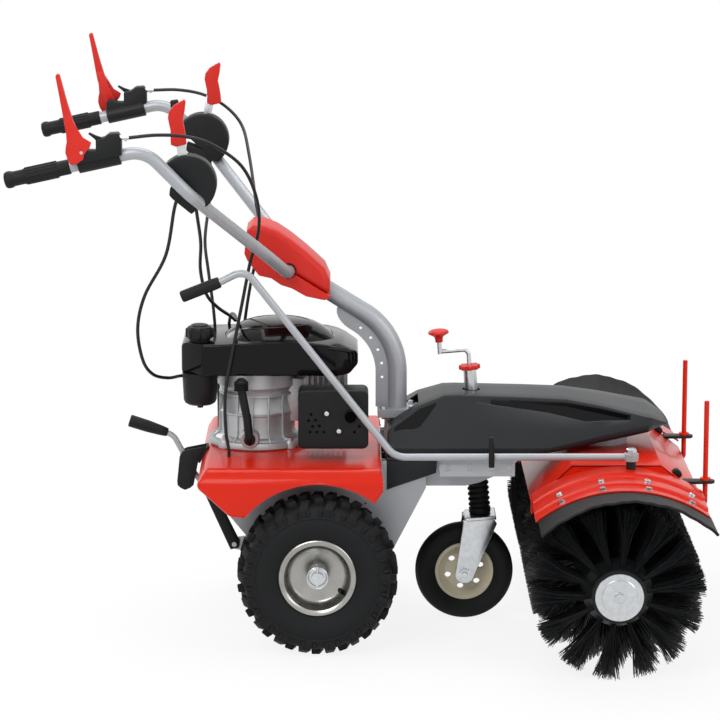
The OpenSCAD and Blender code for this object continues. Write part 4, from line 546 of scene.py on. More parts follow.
def rod(name, points, diameter, sides=6):
    """A round rod along points in mm: a drawn line with a round bevel, turned to a mesh."""
    pick()
    bpy.ops.curve.primitive_bezier_curve_add()
    piece = bpy.context.object
    piece.name = name
    piece.data.splines.clear()
    line = piece.data.splines.new("POLY")
    line.points.add(len(points) - 1)
    for spot, point in zip(line.points, points):
        spot.co = (*mm(*point), 1)
    piece.data.dimensions = "3D"
    piece.data.bevel_depth = diameter / 2000
    piece.data.bevel_resolution = sides
    piece.data.use_fill_caps = True
    bpy.ops.object.convert(target="MESH")
    tidy_mesh(piece, 0.000002)
    return piece


def on_grip(s):
    return GRIP_X + s * math.cos(GRIP_LEAN), GRIP_Y, GRIP_Z + s * math.sin(GRIP_LEAN)


# Grey metallic paint: fine bright flake in a satin coat, a little patchy as on sprayed tube.
grey_paint = coat("grey_metallic_paint", "#999ca0", "#abaeb2", 14.0, (0.34, 0.46), 1600.0, 0.00008,
                  Metallic=0.35, Specular_IOR_Level=0.35)
bar_half = [on_grip(0), on_grip(275), (-250, -390, 968), (-105, -190, 815), (BAR_X, -94, BAR_Z)]
bar_line = rounded_line(bar_half + [(x, -y, z) for x, y, z in reversed(bar_half)], BAR_BEND)
dress(rod("handlebar_dressed", bar_line, BAR_D, 8), 50, grey_paint, "grey_paint", "machine", "handlebar")

# Handle grips: black rubber sleeves pushed on the bar's ends, fluted lengthwise in the middle, round at the
# end. Each is turned from one section, and the flutes are one rib copied round the sleeve.
RIBS_ROUND, RIB_R, RIB_D = 14, 15.8, 3.2


def turn_about(point, axis, angle):
    return Matrix.Translation(point) @ Matrix.Rotation(angle, 4, axis) @ Matrix.Translation(-Vector(point))


def all_round(point, axis, count):
    """The places of a count of pieces, evenly spread round an axis through a point."""
    return [turn_about(point, axis, i * 2 * math.pi / count) for i in range(count)]


# Soft black rubber: matt, with small greyer patches and a fine moulded grain.
soft_rubber = coat("black_soft_rubber", "#0e0f10", "#18191a", 40.0, (0.50, 0.66), 1200.0, 0.0002,
                   Specular_IOR_Level=0.22)
bar_way = Vector((math.cos(GRIP_LEAN), 0, math.sin(GRIP_LEAN)))
grip_section = [(0, -6), (9, -6), (13.6, -4.8), (16, -2), (16.9, 1), (16.9, 8), (15.4, 11), (14.8, 14),
                (14.8, 32), (15.6, 35), (16.2, 38), (16.4, 98), (15.6, 102), (14.9, 104), (14.9, 124),
                (14, 126), (BAR_ROOM, 126), (BAR_ROOM, 0), (0, 0)]
grips = []
for turn in (1, -1):
    end = mm(GRIP_X, turn * GRIP_Y, GRIP_Z)
    grips.append(turned("grip", grip_section, end, bar_way, 48))
    rib = rod("rib", [(GRIP_X + s * bar_way.x, turn * GRIP_Y + RIB_R, GRIP_Z + s * bar_way.z)
                      for s in (37, 40, 70, 98, 101)], RIB_D, 2)
    grips.append(copies("ribs", rib, all_round(end, bar_way, RIBS_ROUND)))
dress(joined("handle_grips_dressed", grips), 40, soft_rubber, "rubber", "machine", "handle_grips")

# Lever brackets: black moulded housings clamped on the bar, each with a slot for its lever and a boss for a
# cable. The housing is cut from its side outline and slotted, and a sleeve is turned round the bar.
PIVOT_X, PIVOT_Z, LEVER_Y, SLOT_HALF = -456.6, 1055.2, -415, 4.3
HOUSING_OUT, HOUSING_IN = -424, -391


def at(x, z, outline):
    """An outline moved to the place (x, z) that it is drawn from."""
    return [(x + a, z + b) for a, b in outline]


def to_left(piece):
    """Mirrors a right-hand piece to the machine's left side."""
    piece.data.transform(Matrix.Scale(-1, 4, (0, 1, 0)))
    piece.data.flip_normals()


# Black moulded plastic: half matt and even, with the fine grain of the mould.
black_plastic = coat("black_moulded_plastic", "#0f1011", "#191a1c", 18.0, (0.38, 0.52), 1000.0, 0.00015,
                     Specular_IOR_Level=0.22)
bracket_side = at(PIVOT_X, PIVOT_Z, [(-10, -24), (-10, 6), (4, 10), (14, 4), (28, 4), (28, 25), (44, 29),
                                     (54, 37), (72, 38), (78, 26), (78, -6)])
slot_side = at(PIVOT_X, PIVOT_Z, [(-30, -15), (-30, 40), (52, 60), (52, 8), (17, -15)])
brackets = []
for turn in (1, -1):
    housing = flat_plate("housing", bracket_side, HOUSING_OUT, HOUSING_IN, edge=2.4, segments=3)
    cut_with(housing, flat_plate("slot", slot_side, LEVER_Y - SLOT_HALF, LEVER_Y + SLOT_HALF, edge=0))
    sleeve = turned("sleeve", [(BAR_ROOM, 142), (16.5, 142), (17.5, 143), (17.5, 225), (16.5, 226),
                               (BAR_ROOM, 226)], mm(GRIP_X, GRIP_Y, GRIP_Z), bar_way, 40)
    pivot = turned("pivot", [(0, -9.4), (6, -9.4), (6.6, -8.6), (4, -8), (4, 8), (0, 8)],
                   mm(PIVOT_X, LEVER_Y, PIVOT_Z), (0, 1, 0), 24)
    bracket = joined("bracket", [housing, sleeve, pivot])
    if turn < 0:
        to_left(bracket)
    brackets.append(bracket)
brackets = joined("lever_brackets_dressed", brackets)
dress(brackets, 35, black_plastic, "black_plastic", "machine", "lever_brackets")

# Clutch levers and their latches: red moulded levers that are squeezed to the grips, with a small black
# thumb latch. A lever is cut from outlines: a root in the slot, a broad cheek outside it with a rivet, and
# the tapered blade.
RIM_X, RIM_Z, RIM_R, RIM_D = PIVOT_X - 13, PIVOT_Z - 2, 15.5, 2.6
# Red moulded plastic: half gloss and even, with a fine mould grain.
red_plastic = coat("red_moulded_plastic", "#c61f16", "#d02a1f", 12.0, (0.36, 0.48), 900.0, 0.00012,
                   Specular_IOR_Level=0.3)
lever_root = at(PIVOT_X, PIVOT_Z, [(-9, -9), (7, -9), (9, 0), (7, 9), (-6, 34), (-18, 70), (-34, 68),
                                   (-25, 30), (-19, 10)])
lever_cheek = at(PIVOT_X, PIVOT_Z, [(-20, 74), (-15, 61), (-3, 41), (4, 30), (20, 20), (17, 11), (6, -3),
                                    (4, -13), (-9, -22), (-20, -24), (-27, -13), (-31, 0), (-30, 12),
                                    (-28, 21), (-29, 38), (-34, 68)])
lever_blade = at(PIVOT_X, PIVOT_Z, [(-48, 150), (-45, 154), (-40, 153), (-26, 98), (-15, 61), (-8, 46),
                                    (-30, 46), (-34, 68), (-41, 110)])
latch_side = at(PIVOT_X + 36, PIVOT_Z + 20, [(-6, -5), (5, -6), (8, 2), (4, 9), (-8, 13), (-20, 19),
                                             (-23, 16), (-12, 7), (-7, 2)])
for side, turn in (("right", 1), ("left", -1)):
    root = flat_plate("root", lever_root, LEVER_Y - 4, LEVER_Y + 4, edge=1)
    cheek = flat_plate("cheek", lever_cheek, LEVER_Y - 13.3, LEVER_Y - 9.3, edge=1.4, segments=3)
    rim = rod("rim", [(RIM_X + RIM_R * math.cos(a * 0.2), LEVER_Y - 12.6, RIM_Z + RIM_R * math.sin(a * 0.2))
                      for a in range(3, 17)], RIM_D, 3)
    blade = flat_plate("blade", lever_blade, LEVER_Y - 12.8, LEVER_Y + 3.5, edge=3, segments=4)
    lever = joined(side + "_clutch_lever_dressed", [root, cheek, rim, blade])
    latch = flat_plate(side + "_lever_latch_dressed", latch_side, LEVER_Y - 3, LEVER_Y + 3, edge=1.2)
    rivet = turned(side + "_lever_rivet", [(0, 9), (3.4, 9), (3.4, 13.6), (2.6, 14.4), (0, 14.8)],
                   mm(PIVOT_X, LEVER_Y, PIVOT_Z), (0, -1, 0), 20)
    if turn < 0:
        for piece in (lever, latch, rivet):
            to_left(piece)
    dress(lever, 35, red_plastic, "red_plastic", side + "_clutch", side + "_clutch_lever")
    dress(latch, 35, black_plastic, "black_plastic", side + "_latch", side + "_lever_latch")
    dress(rivet, 35, zinc_plate, "zinc_steel", side + "_clutch")

# Control pods: black half-disc housings on the inner side of each bar, slotted along the top for their
# levers. The disc is drawn by formula and rounded at its edges, slotted, and seated on a stay from the bar;
# a belly hangs below it where the cables leave.
POD_X, POD_Z, POD_R, POD_FLAT, POD_OUT, POD_IN = -254, 984, 58, -16, -368, -320
GEAR_Y, THROTTLE_Y, BLADE_ROOM = -352, -332, 2.3
POD_TILT, GEAR_LEAN, LEFT_LEAN = math.radians(43), math.radians(9), math.radians(-11)


def leaned(x, z, outline, tilt):
    """An outline drawn upright from (x, z), tilted about that place."""
    return [(x + a * math.cos(tilt) - b * math.sin(tilt), z + a * math.sin(tilt) + b * math.cos(tilt))
            for a, b in outline]


half_disc = [(u, max(v, POD_FLAT)) for u, v in arc(0, 0, POD_R, [-16.5 + i * 213 / 32 for i in range(33)])]
pods = []
for turn, tilt, slots in ((1, GEAR_LEAN, (GEAR_Y, THROTTLE_Y)), (-1, LEFT_LEAN, (GEAR_Y,))):
    pod = flat_plate("pod", leaned(POD_X, POD_Z, half_disc, -POD_TILT), POD_OUT, POD_IN, edge=5, segments=4)
    hub = turned("hub", [(0, 0), (17, 0), (17, 3), (15, 5), (0, 5)], mm(POD_X, -324.6, POD_Z), (0, 1, 0), 40)
    room = leaned(POD_X, POD_Z, [(-13, 0), (13, 0), (60, 80), (-60, 80)], tilt)
    for y in slots:
        cut_with(pod, flat_plate("room", room, y - BLADE_ROOM, y + BLADE_ROOM, edge=0))
    stay = rod("stay", [(POD_X - 8, -392, POD_Z - 14), (POD_X - 8, -366, POD_Z - 14)], 16)
    belly = flat_plate("belly", [(-288, 978), (-290, 962), (-284, 955), (-246, 924), (-236, 934),
                                 (-222, 952)], POD_OUT + 4, POD_IN - 4, edge=3, segments=3)
    pod = joined("pod", [pod, stay, hub, belly])
    if turn < 0:
        to_left(pod)
    pods.append(pod)
dress(joined("control_pods_dressed", pods), 32, black_plastic, "black_plastic", "machine", "control_pods")

# Gear levers and throttle: a blade in each slot, with a red moulded handle on the gear levers and a black
# knob on the throttle. A blade is cut from its outline and leaned, and its handle is cut upright on it with
# round edges.
BLADE_HALF, HANDLE_HALF, HANDLE_UP = 2, 8, 121
gear_blade = at(POD_X, POD_Z, [(-9, -9), (9, -9), (9, 96), (-9, 96)])
gear_handle = [(14, 167), (-7, 155), (-16, 143), (-18, 131), (-13, 106), (-13, 78), (-3, 74), (18, 79),
               (16, 100), (11, 127), (15, 146), (17, 163)]
for side, turn, tilt in (("right", 1, GEAR_LEAN), ("left", -1, LEFT_LEAN)):
    blade = flat_plate(side + "_gear_blade", gear_blade, GEAR_Y - BLADE_HALF, GEAR_Y + BLADE_HALF, edge=0.6)
    blade.data.transform(turn_about(mm(POD_X, 0, POD_Z), "Y", -tilt))
    handle_side = at(POD_X - HANDLE_UP * math.sin(tilt), POD_Z, gear_handle)
    handle = flat_plate(side + "_gear_lever_dressed", handle_side, GEAR_Y - HANDLE_HALF,
                        GEAR_Y + HANDLE_HALF, edge=1.6, segments=3)
    if turn < 0:
        to_left(blade)
        to_left(handle)
    dress(blade, 35, zinc_plate, "zinc_steel", side + "_gear")
    dress(handle, 35, red_plastic, "red_plastic", side + "_gear", side + "_gear_lever")
blade = flat_plate("blade", at(POD_X, POD_Z, [(-9, -9), (9, -9), (5, 150), (-5, 150)]),
                   THROTTLE_Y - BLADE_HALF, THROTTLE_Y + BLADE_HALF, edge=0.6)
knob = flat_plate("knob", at(POD_X, POD_Z, [(-10, 128), (10, 128), (8, 166), (-8, 166)]),
                  THROTTLE_Y - 5, THROTTLE_Y + 5, edge=3, segments=3)
throttle = joined("throttle_lever_dressed", [blade, knob])
throttle.data.transform(turn_about(mm(POD_X, 0, POD_Z), "Y", -GEAR_LEAN))
dress(throttle, 35, black_plastic, "black_plastic", "throttle", "throttle_lever")

# Control cables: black sheathed wires in free curves from the levers and pods to the engine and the deck.
# Each route's points are joined by one smooth line through them, and both ends go into the machine.
CABLE_D, CABLE_STEPS = 7, 8
routes = {
    "right_clutch_cable": [(-364.3, -415, 1083.2), (-310, -412, 1088), (-255, -388, 1082), (-205, -356, 1062),
                           (-150, -280, 1010), (-122, -228, 940), (-118, -195, 870), (-136, -178, 800),
                           (-152, -165, 720), (-172, -155, 620), (-190, -150, 520), (-190, -150, 440),
                           (-184, -150, 400), (-184, -150, 383)],
    "left_clutch_cable": [(-364.3, 415, 1083.2), (-310, 412, 1084), (-255, 394, 1076), (-205, 376, 1052),
                          (-168, 340, 1014), (-150, 255, 960), (-134, 150, 880), (-124, 133, 800),
                          (-145, 135, 700), (-160, 133, 600), (-165, 133, 500), (-165, 133, 430),
                          (-165, 133, 383)],
    "right_gear_cable": [(-240, -340, 945), (-236, -325, 910), (-232, -285, 855), (-236, -222, 790),
                         (-226, -192, 735), (-205, -150, 700), (-180, -100, 672), (-172, -40, 652),
                         (-176, 40, 648), (-186, 105, 638), (-192, 132, 606), (-191, 133, 540),
                         (-190, 133, 440), (-190, 133, 383)],
    "throttle_cable": [(-268, -332, 972), (-282, -322, 930), (-304, -255, 825), (-350, -212, 735),
                       (-366, -200, 665), (-358, -185, 598), (-340, -150, 560), (-312, -92, 540),
                       (-284, -24, 531), (-248, -6, 526), (-212.3, 0, 524)],
    "left_gear_cable": [(-240, 340, 945), (-234, 318, 900), (-238, 250, 850), (-244, 185, 785),
                        (-236, 160, 720), (-225, 140, 640), (-218, 134, 540), (-215, 133, 440),
                        (-215, 133, 383)],
}
# Black cable sheath: smooth and slightly shiny plastic over a wound wire.
cable_sheath = coat("black_cable_sheath", "#0c0d0e", "#151617", 60.0, (0.36, 0.48), 900.0, 0.0001,
                    Specular_IOR_Level=0.35)
for name, route in routes.items():
    knots = [Vector(p) for p in route]
    knots = [2 * knots[0] - knots[1]] + knots + [2 * knots[-1] - knots[-2]]
    line = [knots[1]]
    for a, b, c, d in zip(knots, knots[1:], knots[2:], knots[3:]):
        for i in range(1, CABLE_STEPS + 1):
            t = i / CABLE_STEPS
            line.append(0.5 * (2 * b + (c - a) * t + (2 * a - 5 * b + 4 * c - d) * t * t +
                               (3 * b - a - 3 * c + d) * t ** 3))
    cable = rod(name, line, CABLE_D, 4)
    dress(cable, 60, cable_sheath, "rubber", "machine", "control_cables")

# Handlebar clamp: two red moulded shells that close round the bar and the end of the column.
# Each shell is cut from its side outline with broad round edges, and bored for the bar.
CLAMP_HW, CLAMP_FRONT, CLAMP_REAR, MOUTH_R, MOUTH_FROM = 62, 26, -150, 16.5, 46
SPLIT_SLOPE = math.tan(math.radians(32))
front_split, rear_split = [(x, BAR_Z + (BAR_X - x) * SPLIT_SLOPE) for x in (CLAMP_FRONT, CLAMP_REAR)]
upper_side = [front_split, (CLAMP_FRONT, 738), (15, 764), (-24, 800), (-56, 826), (-84, 845), (-112, 857),
              (-134, 857), (-147, 845), rear_split]
under_side = [front_split, rear_split, (-152, 796), (-146, 782), (-122, 750), (-96, 744), (-76, 730),
              (-54, 723), (-24, 706), (14, 698), (CLAMP_FRONT, 703)]
for node, outline, edge, segments in (("clamp_upper_shell", upper_side, 15, 6),
                                      ("clamp_lower_shell", under_side, 5, 4)):
    shell = flat_plate(node + "_dressed", outline, -CLAMP_HW, CLAMP_HW, edge=0)
    soften(shell, edge, segments, 50)
    middle = mm(BAR_X, 0, BAR_Z)
    cut_with(shell, turned("bar_room", bar_section(BAR_ROOM, -70, 70), middle, (0, 1, 0), 48))
    for turn in (-1, 1):
        cut_with(shell, turned("bar_mouth", bar_section(MOUTH_R, MOUTH_FROM, 70), middle, (0, turn, 0), 48))
    dress(shell, 30, red_plastic, "red_plastic", "machine", node)

# Engine crankcase: a round cast aluminium case on a flat foot, with thin ribs and a boss for the oil filler.
# The case is turned from its section; ribs, ears and the boss are shaped once and set round it.
CRANK_X, CASE_TOP, CASE_BORE, EAR_OUT = -128, 548, 12.6, 68
FILLER_TUBE_X, FILLER_TUBE_Y, BOSS_Z = -142, -130, 412
# Sand-cast aluminium: pale, cloudy and grainy, with a dull metal reflection.
cast_alloy = coat("sand_cast_aluminium", "#a3a5a7", "#c3c5c6", 35.0, (0.40, 0.58), 420.0, 0.0004,
                  Metallic=0.8)
crank_axis = mm(CRANK_X, 0, 0)
case = turned("case", [(CASE_BORE, 385), (101, 385), (104, 388), (104, 396), (102, 400), (97, 401), (92, 401),
                       (90, 404), (82, 408), (79, 414), (79, 452), (81, 454), (81, 458), (79, 460), (74, 486),
                       (74, 492), (81, 494), (81, 498), (76, 502), (82, 511), (84, 513), (84, 547),
                       (83, CASE_TOP), (CASE_BORE, CASE_TOP)], crank_axis, (0, 0, 1), 96)
rib = flat_plate("rib", at(CRANK_X, 0, [(72, 400), (98, 400), (84, 412), (82, 494), (70, 494)]), -1.6, 1.6,
                 edge=0.8)
ribs = copies("ribs", rib, [turn_about(crank_axis, "Z", math.radians(a)) for a in range(48, 330, 24)])
boss = turned("boss", [(0, 40), (20, 40), (20, 104), (18, 108), (0, 108)], mm(FILLER_TUBE_X, 0, BOSS_Z),
              (0, -1, 0), 40)
ears = [turned("ear", [(0, 386), (13, 386), (13, 399), (12, 401), (0, 401)],
               mm(CRANK_X + EAR_OUT * x, EAR_OUT * y, 0), (0, 0, 1), 32) for x in (-1, 1) for y in (-1, 1)]
bridge = flat_plate("bridge", [(CRANK_X + 60, 436), (-28, 436), (-28, 528), (CRANK_X + 60, 528)], -38, 38,
                    edge=3)
crankcase = joined("crankcase_dressed", [case, ribs, boss, bridge] + ears)
dress(crankcase, 35, cast_alloy, "cast_alloy", "machine", "crankcase")

# Blower shroud: a glossy black pressed hood over the flywheel, with a low crowned lid and slats at its
# front end. Its block is cut from the side outline, its corners sliced off and its edges rounded; the lid
# and an oval ring on it are turned and drawn, and one slat is copied along the front.
SHROUD_HW, SHROUD_REAR, SHROUD_FRONT, LID_X, SLATS = 118, -284, 84, -82, 3
OVAL_LONG, OVAL_WIDE, OVAL_X, OVAL_Y, OVAL_SUNK = 78, 58, -94, -14, 1
shroud = flat_plate("shroud", [(SHROUD_REAR, 606), (-276, 614), (-200, 615), (-60, 622), (20, 614),
                               (58, 604), (SHROUD_FRONT, 590), (SHROUD_FRONT, 566), (66, CASE_TOP),
                               (SHROUD_REAR, CASE_TOP)], -SHROUD_HW, SHROUD_HW, edge=0)
for turn in (-1, 1):
    slice_off(shroud, mm(SHROUD_REAR, turn * 72, 0), (-46, turn * 44, 0))
    slice_off(shroud, mm(SHROUD_FRONT, turn * 76, 0), (42, turn * 32, 0))
soften(shroud, 5, 4, 25)
lid_crown = [(112, 617), (104, 624), (92, 632.5), (77, 640.5), (60, 645.5), (37, 649), (20, 649.8)]
lid = turned("lid", [(12, 596), (117, 596), (117, 604), (116, 611)] + lid_crown +
             [(0, 650), (0, 646), (12, 646)], mm(LID_X, 0, 0), (0, 0, 1), 96)
seam = turned("seam", [(114.6, 610), (117.4, 609), (117.6, 611), (113.4, 617)], mm(LID_X, 0, 0), (0, 0, 1),
              96)
oval = []
for i in range(65):
    x, y = OVAL_LONG * math.cos(i * math.pi / 32), OVAL_WIDE * math.sin(i * math.pi / 32)
    from_lid = math.hypot(x + OVAL_X - LID_X, y + OVAL_Y)
    oval.append((OVAL_X + x, OVAL_Y + y, along(lid_crown[::-1], from_lid) - OVAL_SUNK))
oval = rod("oval", oval, 4, 3)
slat = rod("slat", rounded_line([(22, -118.2, 606), (40, -118.2, 604), (70, -95, 594), (70, -95, 572)], 10),
           3.4, 3)
slats = copies("slats", slat, [Matrix.Translation((0.0055 * i, 0.0072 * i, -0.0004 * i))
                               for i in range(SLATS)])
shroud = joined("blower_shroud_dressed", [shroud, lid, seam, oval, slats])
dress(shroud, 30, gloss_black, "gloss_black", "machine", "blower_shroud")

# Fuel tank and cap: a black bowl under the shroud's end with a neck through it, and a lobed screw cap on top.
# Bowl and cap are turned; the cap's finger lobes are shaped once and set round it.
FILLER_X, FILLER_Y, CAP_R, LOBES = -246, -66, 25, 8
filler_axis = mm(FILLER_X, FILLER_Y, 0)
tank = turned("fuel_tank_dressed", [(0, 472), (6, 472), (6.5, 480), (26, 480), (32, 484), (34.5, 490),
                                    (37, 544), (37, CASE_TOP), (22, CASE_TOP), (22, 619), (18, 619),
                                    (18, 623), (0, 623)], filler_axis, (0, 0, 1), 64)
dress(tank, 30, black_plastic, "black_plastic", "machine", "fuel_tank")
cap = turned("cap", [(0, 623.4), (18.2, 623.4), (18.2, 619.4), (CAP_R, 619.4), (26, 620.4), (26, 640),
                     (24, 644), (19, 645.6), (17.6, 648), (15, 649), (0, 649.2)], filler_axis, (0, 0, 1),
             64)
lobe = turned("lobe", [(0, 621.4), (4, 621.4), (4.5, 622.4), (4.5, 638), (3, 641), (0, 642)],
              mm(FILLER_X + CAP_R, FILLER_Y, 0), (0, 0, 1), 16)
cap = joined("fuel_cap_dressed", [cap, copies("lobes", lobe, all_round(filler_axis, "Z", LOBES))])
dress(cap, 35, black_plastic, "black_plastic", "filler_cap", "fuel_cap")

# Oil filler: a black tube from the boss up to a ribbed dipstick cap with a flat finger tab.
# The tube is a drawn line with thickness; cap, collar and rings are turned.
STICK_X, CAP_RINGS, RING_PITCH = -158, 4, 5
tube = rod("tube", rounded_line([(FILLER_TUBE_X, -108, BOSS_Z), (FILLER_TUBE_X, FILLER_TUBE_Y, BOSS_Z),
                                 (-146, FILLER_TUBE_Y, 460), (STICK_X, FILLER_TUBE_Y, 523)], 20), 18)
stick = [(0, 519.7), (11, 519.7)]
for i in range(CAP_RINGS):
    low = 521 + RING_PITCH * i
    stick += [(15, low), (15, low + 2.5), (12.6, low + 3.6)]
stick = turned("stick", stick + [(12, 541), (9, 543.6), (0, 544.5)], mm(STICK_X, FILLER_TUBE_Y, 0),
               (0, 0, 1), 40)
tab = flat_plate("tab", [(-167, 536), (-149, 536), (-150, 545), (-153, 547.5), (-163, 547.5), (-166, 545)],
                 FILLER_TUBE_Y - 2, FILLER_TUBE_Y + 2, edge=1)
collar = turned("collar", [(0, 0), (12, 0), (12, 7), (10, 9), (0, 9)], mm(FILLER_TUBE_X, -107.8, BOSS_Z),
                (0, -1, 0), 32)
oil = joined("oil_filler_dressed", [tube, stick, tab, collar])
dress(oil, 35, black_plastic, "black_plastic", "machine", "oil_filler")

# Muffler guard: a black box of perforated sheet steel round the muffler, open to the engine, held by two
# screws. The box is cut from its outline with rounded corners, hollowed and pierced; screws and the
# outlet's mouth are turned.
GUARD_Y, GUARD_IN, GUARD_SHEET, GUARD_CORNER, HOLE_R, OUTLET_R = -200, -134, 2, 11.8, 3.2, 12.3
outlet, screw_places = mm(68, GUARD_Y, 481), [(19, 487), (44, 450)]
guard_side = []
for x, z, start in ((93, 523, 0), (-28, 523, 90), (-28, 424, 180), (93, 424, 270)):
    guard_side += arc(x, z, GUARD_CORNER, [start + a for a in (0, 22, 45, 68, 90)])
guard = flat_plate("guard", guard_side, GUARD_Y, GUARD_IN, edge=3.5, segments=3)
open_faces(guard, lambda normal: normal.y > 0.9)
modify(guard, "SOLIDIFY", thickness=GUARD_SHEET / 1000, offset=-1)
holes = [turned("outlet", bar_section(OUTLET_R, -10, 10), outlet, (0, 1, 0), 32)]
for x, z in ((-13, 485), (-18, 472), (-4, 473), (-10, 460), (4, 461), (-15, 448), (-1, 448), (13, 448),
             (86, 460), (76, 448)):
    holes.append(turned("hole", bar_section(HOLE_R, -10, 10), mm(x, GUARD_Y, z), (0, 1, 0), 16))
cut_with(guard, joined("holes", holes))
# Black satin paint on steel: half matt, with faint lighter patches.
black_paint = coat("black_satin_paint", "#0e0f10", "#181a1b", 25.0, (0.36, 0.50), 700.0, 0.00015,
                   Specular_IOR_Level=0.2)
# Painted shade in the outlet's mouth: dead black, without any shine, standing for the dark inside of the
# pipe.
painted_hole_shade = coat("painted_outlet_shade", "#020202", "#060505", 60.0, (0.85, 0.95), 600.0, 0.0002,
            Specular_IOR_Level=0.04)
wells = [turned("well", [(6.2, -0.4), (10, -0.4), (9.4, 1), (7.4, 1.6), (6.2, 1.2)], mm(x, GUARD_Y, z),
                (0, -1, 0), 32) for x, z in screw_places]
guard = joined("muffler_guard_dressed", [guard] + wells)
dress(guard, 30, black_paint, "black_paint", "machine", "muffler_guard")
screws = [turned("screw", [(0, -0.5), (5.6, -0.5), (5.6, 1), (4.6, 2.8), (2.4, 3.6), (0, 3.8)],
                 mm(x, GUARD_Y, z), (0, -1, 0), 24) for x, z in screw_places]
dress(joined("guard_screws", screws), 35, zinc_plate, "zinc_steel", "machine")
# The outlet's mouth: a dead black disc and rim just proud of the muffler's closed end, painted shade for the
# pipe's dark hollow.
mouth = turned("outlet_mouth", [(0, 7.9), (9, 7.9), (9, 8.2), (12, 8.2), (12, 8.4), (8.8, 8.9), (8.6, 8.3),
                                (0, 8.3)], outlet, (0, -1, 0), 32)
dress(mouth, 35, painted_hole_shade, "black_paint", "machine")

# Caster wheel: a black rubber tyre on a cream moulded rim with bores, on one bolt through the fork.
# Tyre and rim are turned from their sections; the rim's round bores are cut through the disc.
CASTER_X, CASTER_Z, RIM_BORES, BORE_R, BORE_OUT, BORE_PHASE = 310, 104, 6, 7, 0.036, 0.3
caster_middle = mm(CASTER_X, 0, CASTER_Z)
half_tyre = [(62.3, 15), (68, 20), (76, 26), (84, 29.6), (90, 29.4), (92, 28), (94, 27.6), (98.5, 24),
             (101, 18), (102.6, 12), (101.6, 11), (101.6, 9.6), (103.2, 9), (104, 5), (104, 0)]
caster_tyre = turned("caster_tyre_dressed", both_sides(half_tyre), caster_middle, (0, 1, 0), 96)
dress(caster_tyre, 35, tyre_rubber, "tyre_rubber", "caster_wheel", "caster_tyre")
# Cream moulded plastic: half gloss, a little yellowed in patches.
cream_plastic = coat("cream_moulded_plastic", "#cfc6aa", "#ddd5bc", 16.0, (0.36, 0.48), 800.0, 0.00012)
half_rim = [(7.1, 34.6), (16, 34.6), (18, 33), (18, 12), (21, 9), (40, 6), (52, 12), (55, 16), (61, 16),
            (62, 15), (62, 0)]
caster_rim = turned("caster_rim_dressed", both_sides(half_rim), caster_middle, (0, 1, 0), 80)
bores = []
for i in range(RIM_BORES):
    a = i * 2 * math.pi / RIM_BORES + BORE_PHASE
    bores.append(turned("bore", bar_section(BORE_R, -30, 30),
                        caster_middle + BORE_OUT * Vector((math.cos(a), 0, math.sin(a))), (0, 1, 0), 24))
cut_with(caster_rim, joined("bores", bores))
dress(caster_rim, 30, cream_plastic, "cream_plastic", "caster_wheel", "caster_rim")

# Caster fork: bright plated steel, two arms from a folded crown down to the bolt, with a nut on each side.
# Arms and crown are cut from their outlines with rounded edges; bolt and nuts are turned.
ARM_Y, ARM_HALF, CROWN_HALF, CROWN_Z, CROWN_SHIFT = 38, 3, 4.9, 223.5, 0.0054
arm_side = [(290, 100), (294, 90), (302, 85), (310, 84), (318, 85), (326, 90), (330, 100), (378, 213.8),
            (370, 225.8), (306, 220.8), (306, 211.8)]
fork = [flat_plate("arm", arm_side, y - ARM_HALF, y + ARM_HALF, edge=1.6, segments=3)
        for y in (-ARM_Y, ARM_Y)]
crown = flat_plate("crown", at(FOOT_X, 0, [(-33, -41), (33, -41), (33, 41), (-33, 41)]), CROWN_Z - CROWN_HALF,
                   CROWN_Z + CROWN_HALF, "z", edge=2.6, segments=3)
crown.data.transform(Matrix.Translation((CROWN_SHIFT, 0, 0)) @ turn_about(mm(FOOT_X, 0, CROWN_Z), "Y", -RAKE))
cut_with(crown, turned("stem_room", bar_section(11.1, -100, -50), foot, rake_way, 40))
fork += [crown, turned("bolt", [(0, -49), (6, -49), (7, -48), (7, 48), (6, 49), (0, 49)], caster_middle,
                       (0, 1, 0), 32)]
for turn in (-1, 1):
    fork.append(turned("nut", [(7, 41), (14, 41), (14, 42.6), (12, 42.6), (12, 47), (7, 47)], caster_middle,
                       (0, turn, 0), 6))
dress(joined("caster_fork_dressed", fork), 30, zinc_plate, "zinc_steel", "caster_swivel", "caster_fork")

# Caster stem: a steel stem in a ribbed black rubber boot that keeps dirt out of the guide sleeve.
# Stem and boot are turned about the raked axis in one section, with seven rounded folds.
FOLDS, FOLD_LOW, FOLD_PITCH = 7, -55, 11.33
boot = [(9, -83), (11, -83), (11, -69.2), (21, -69.2), (23, -67), (23, -57)]
for i in range(FOLDS):
    z = FOLD_LOW + i * FOLD_PITCH
    boot += [(19.2, z), (20.4, z + 1.6), (22.6, z + 4), (23, z + 5.6), (22.6, z + 7.2), (20.4, z + 9.7)]
boot += [(19, 24), (14.3, 24), (14.3, -47), (11, -47), (11, 122), (9, 122)]
stem = turned("caster_stem_dressed", boot, foot, rake_way, 64)
dress(stem, 50, soft_rubber, "rubber", "caster_slide", "caster_stem")

# Height crank's knob and lock ring: a red mushroom knob that turns on the crank's pin, and a red lobed ring
# on the sleeve. The knob is turned; the ring is turned and its lobes are shaped once and set round it.
CRANK_Z, RING_Z, CRANK_REACH, LOBE_OUT = 582, 540, 0.06, 0.017
cross_way = Vector((-math.cos(RAKE), 0, -math.sin(RAKE)))


def up_stem(z, more):
    """The place on the raked stem's axis at a height, and a little further up along it."""
    return foot + rake_way * (((z - FOOT_Z) / math.cos(RAKE) + more) / 1000)


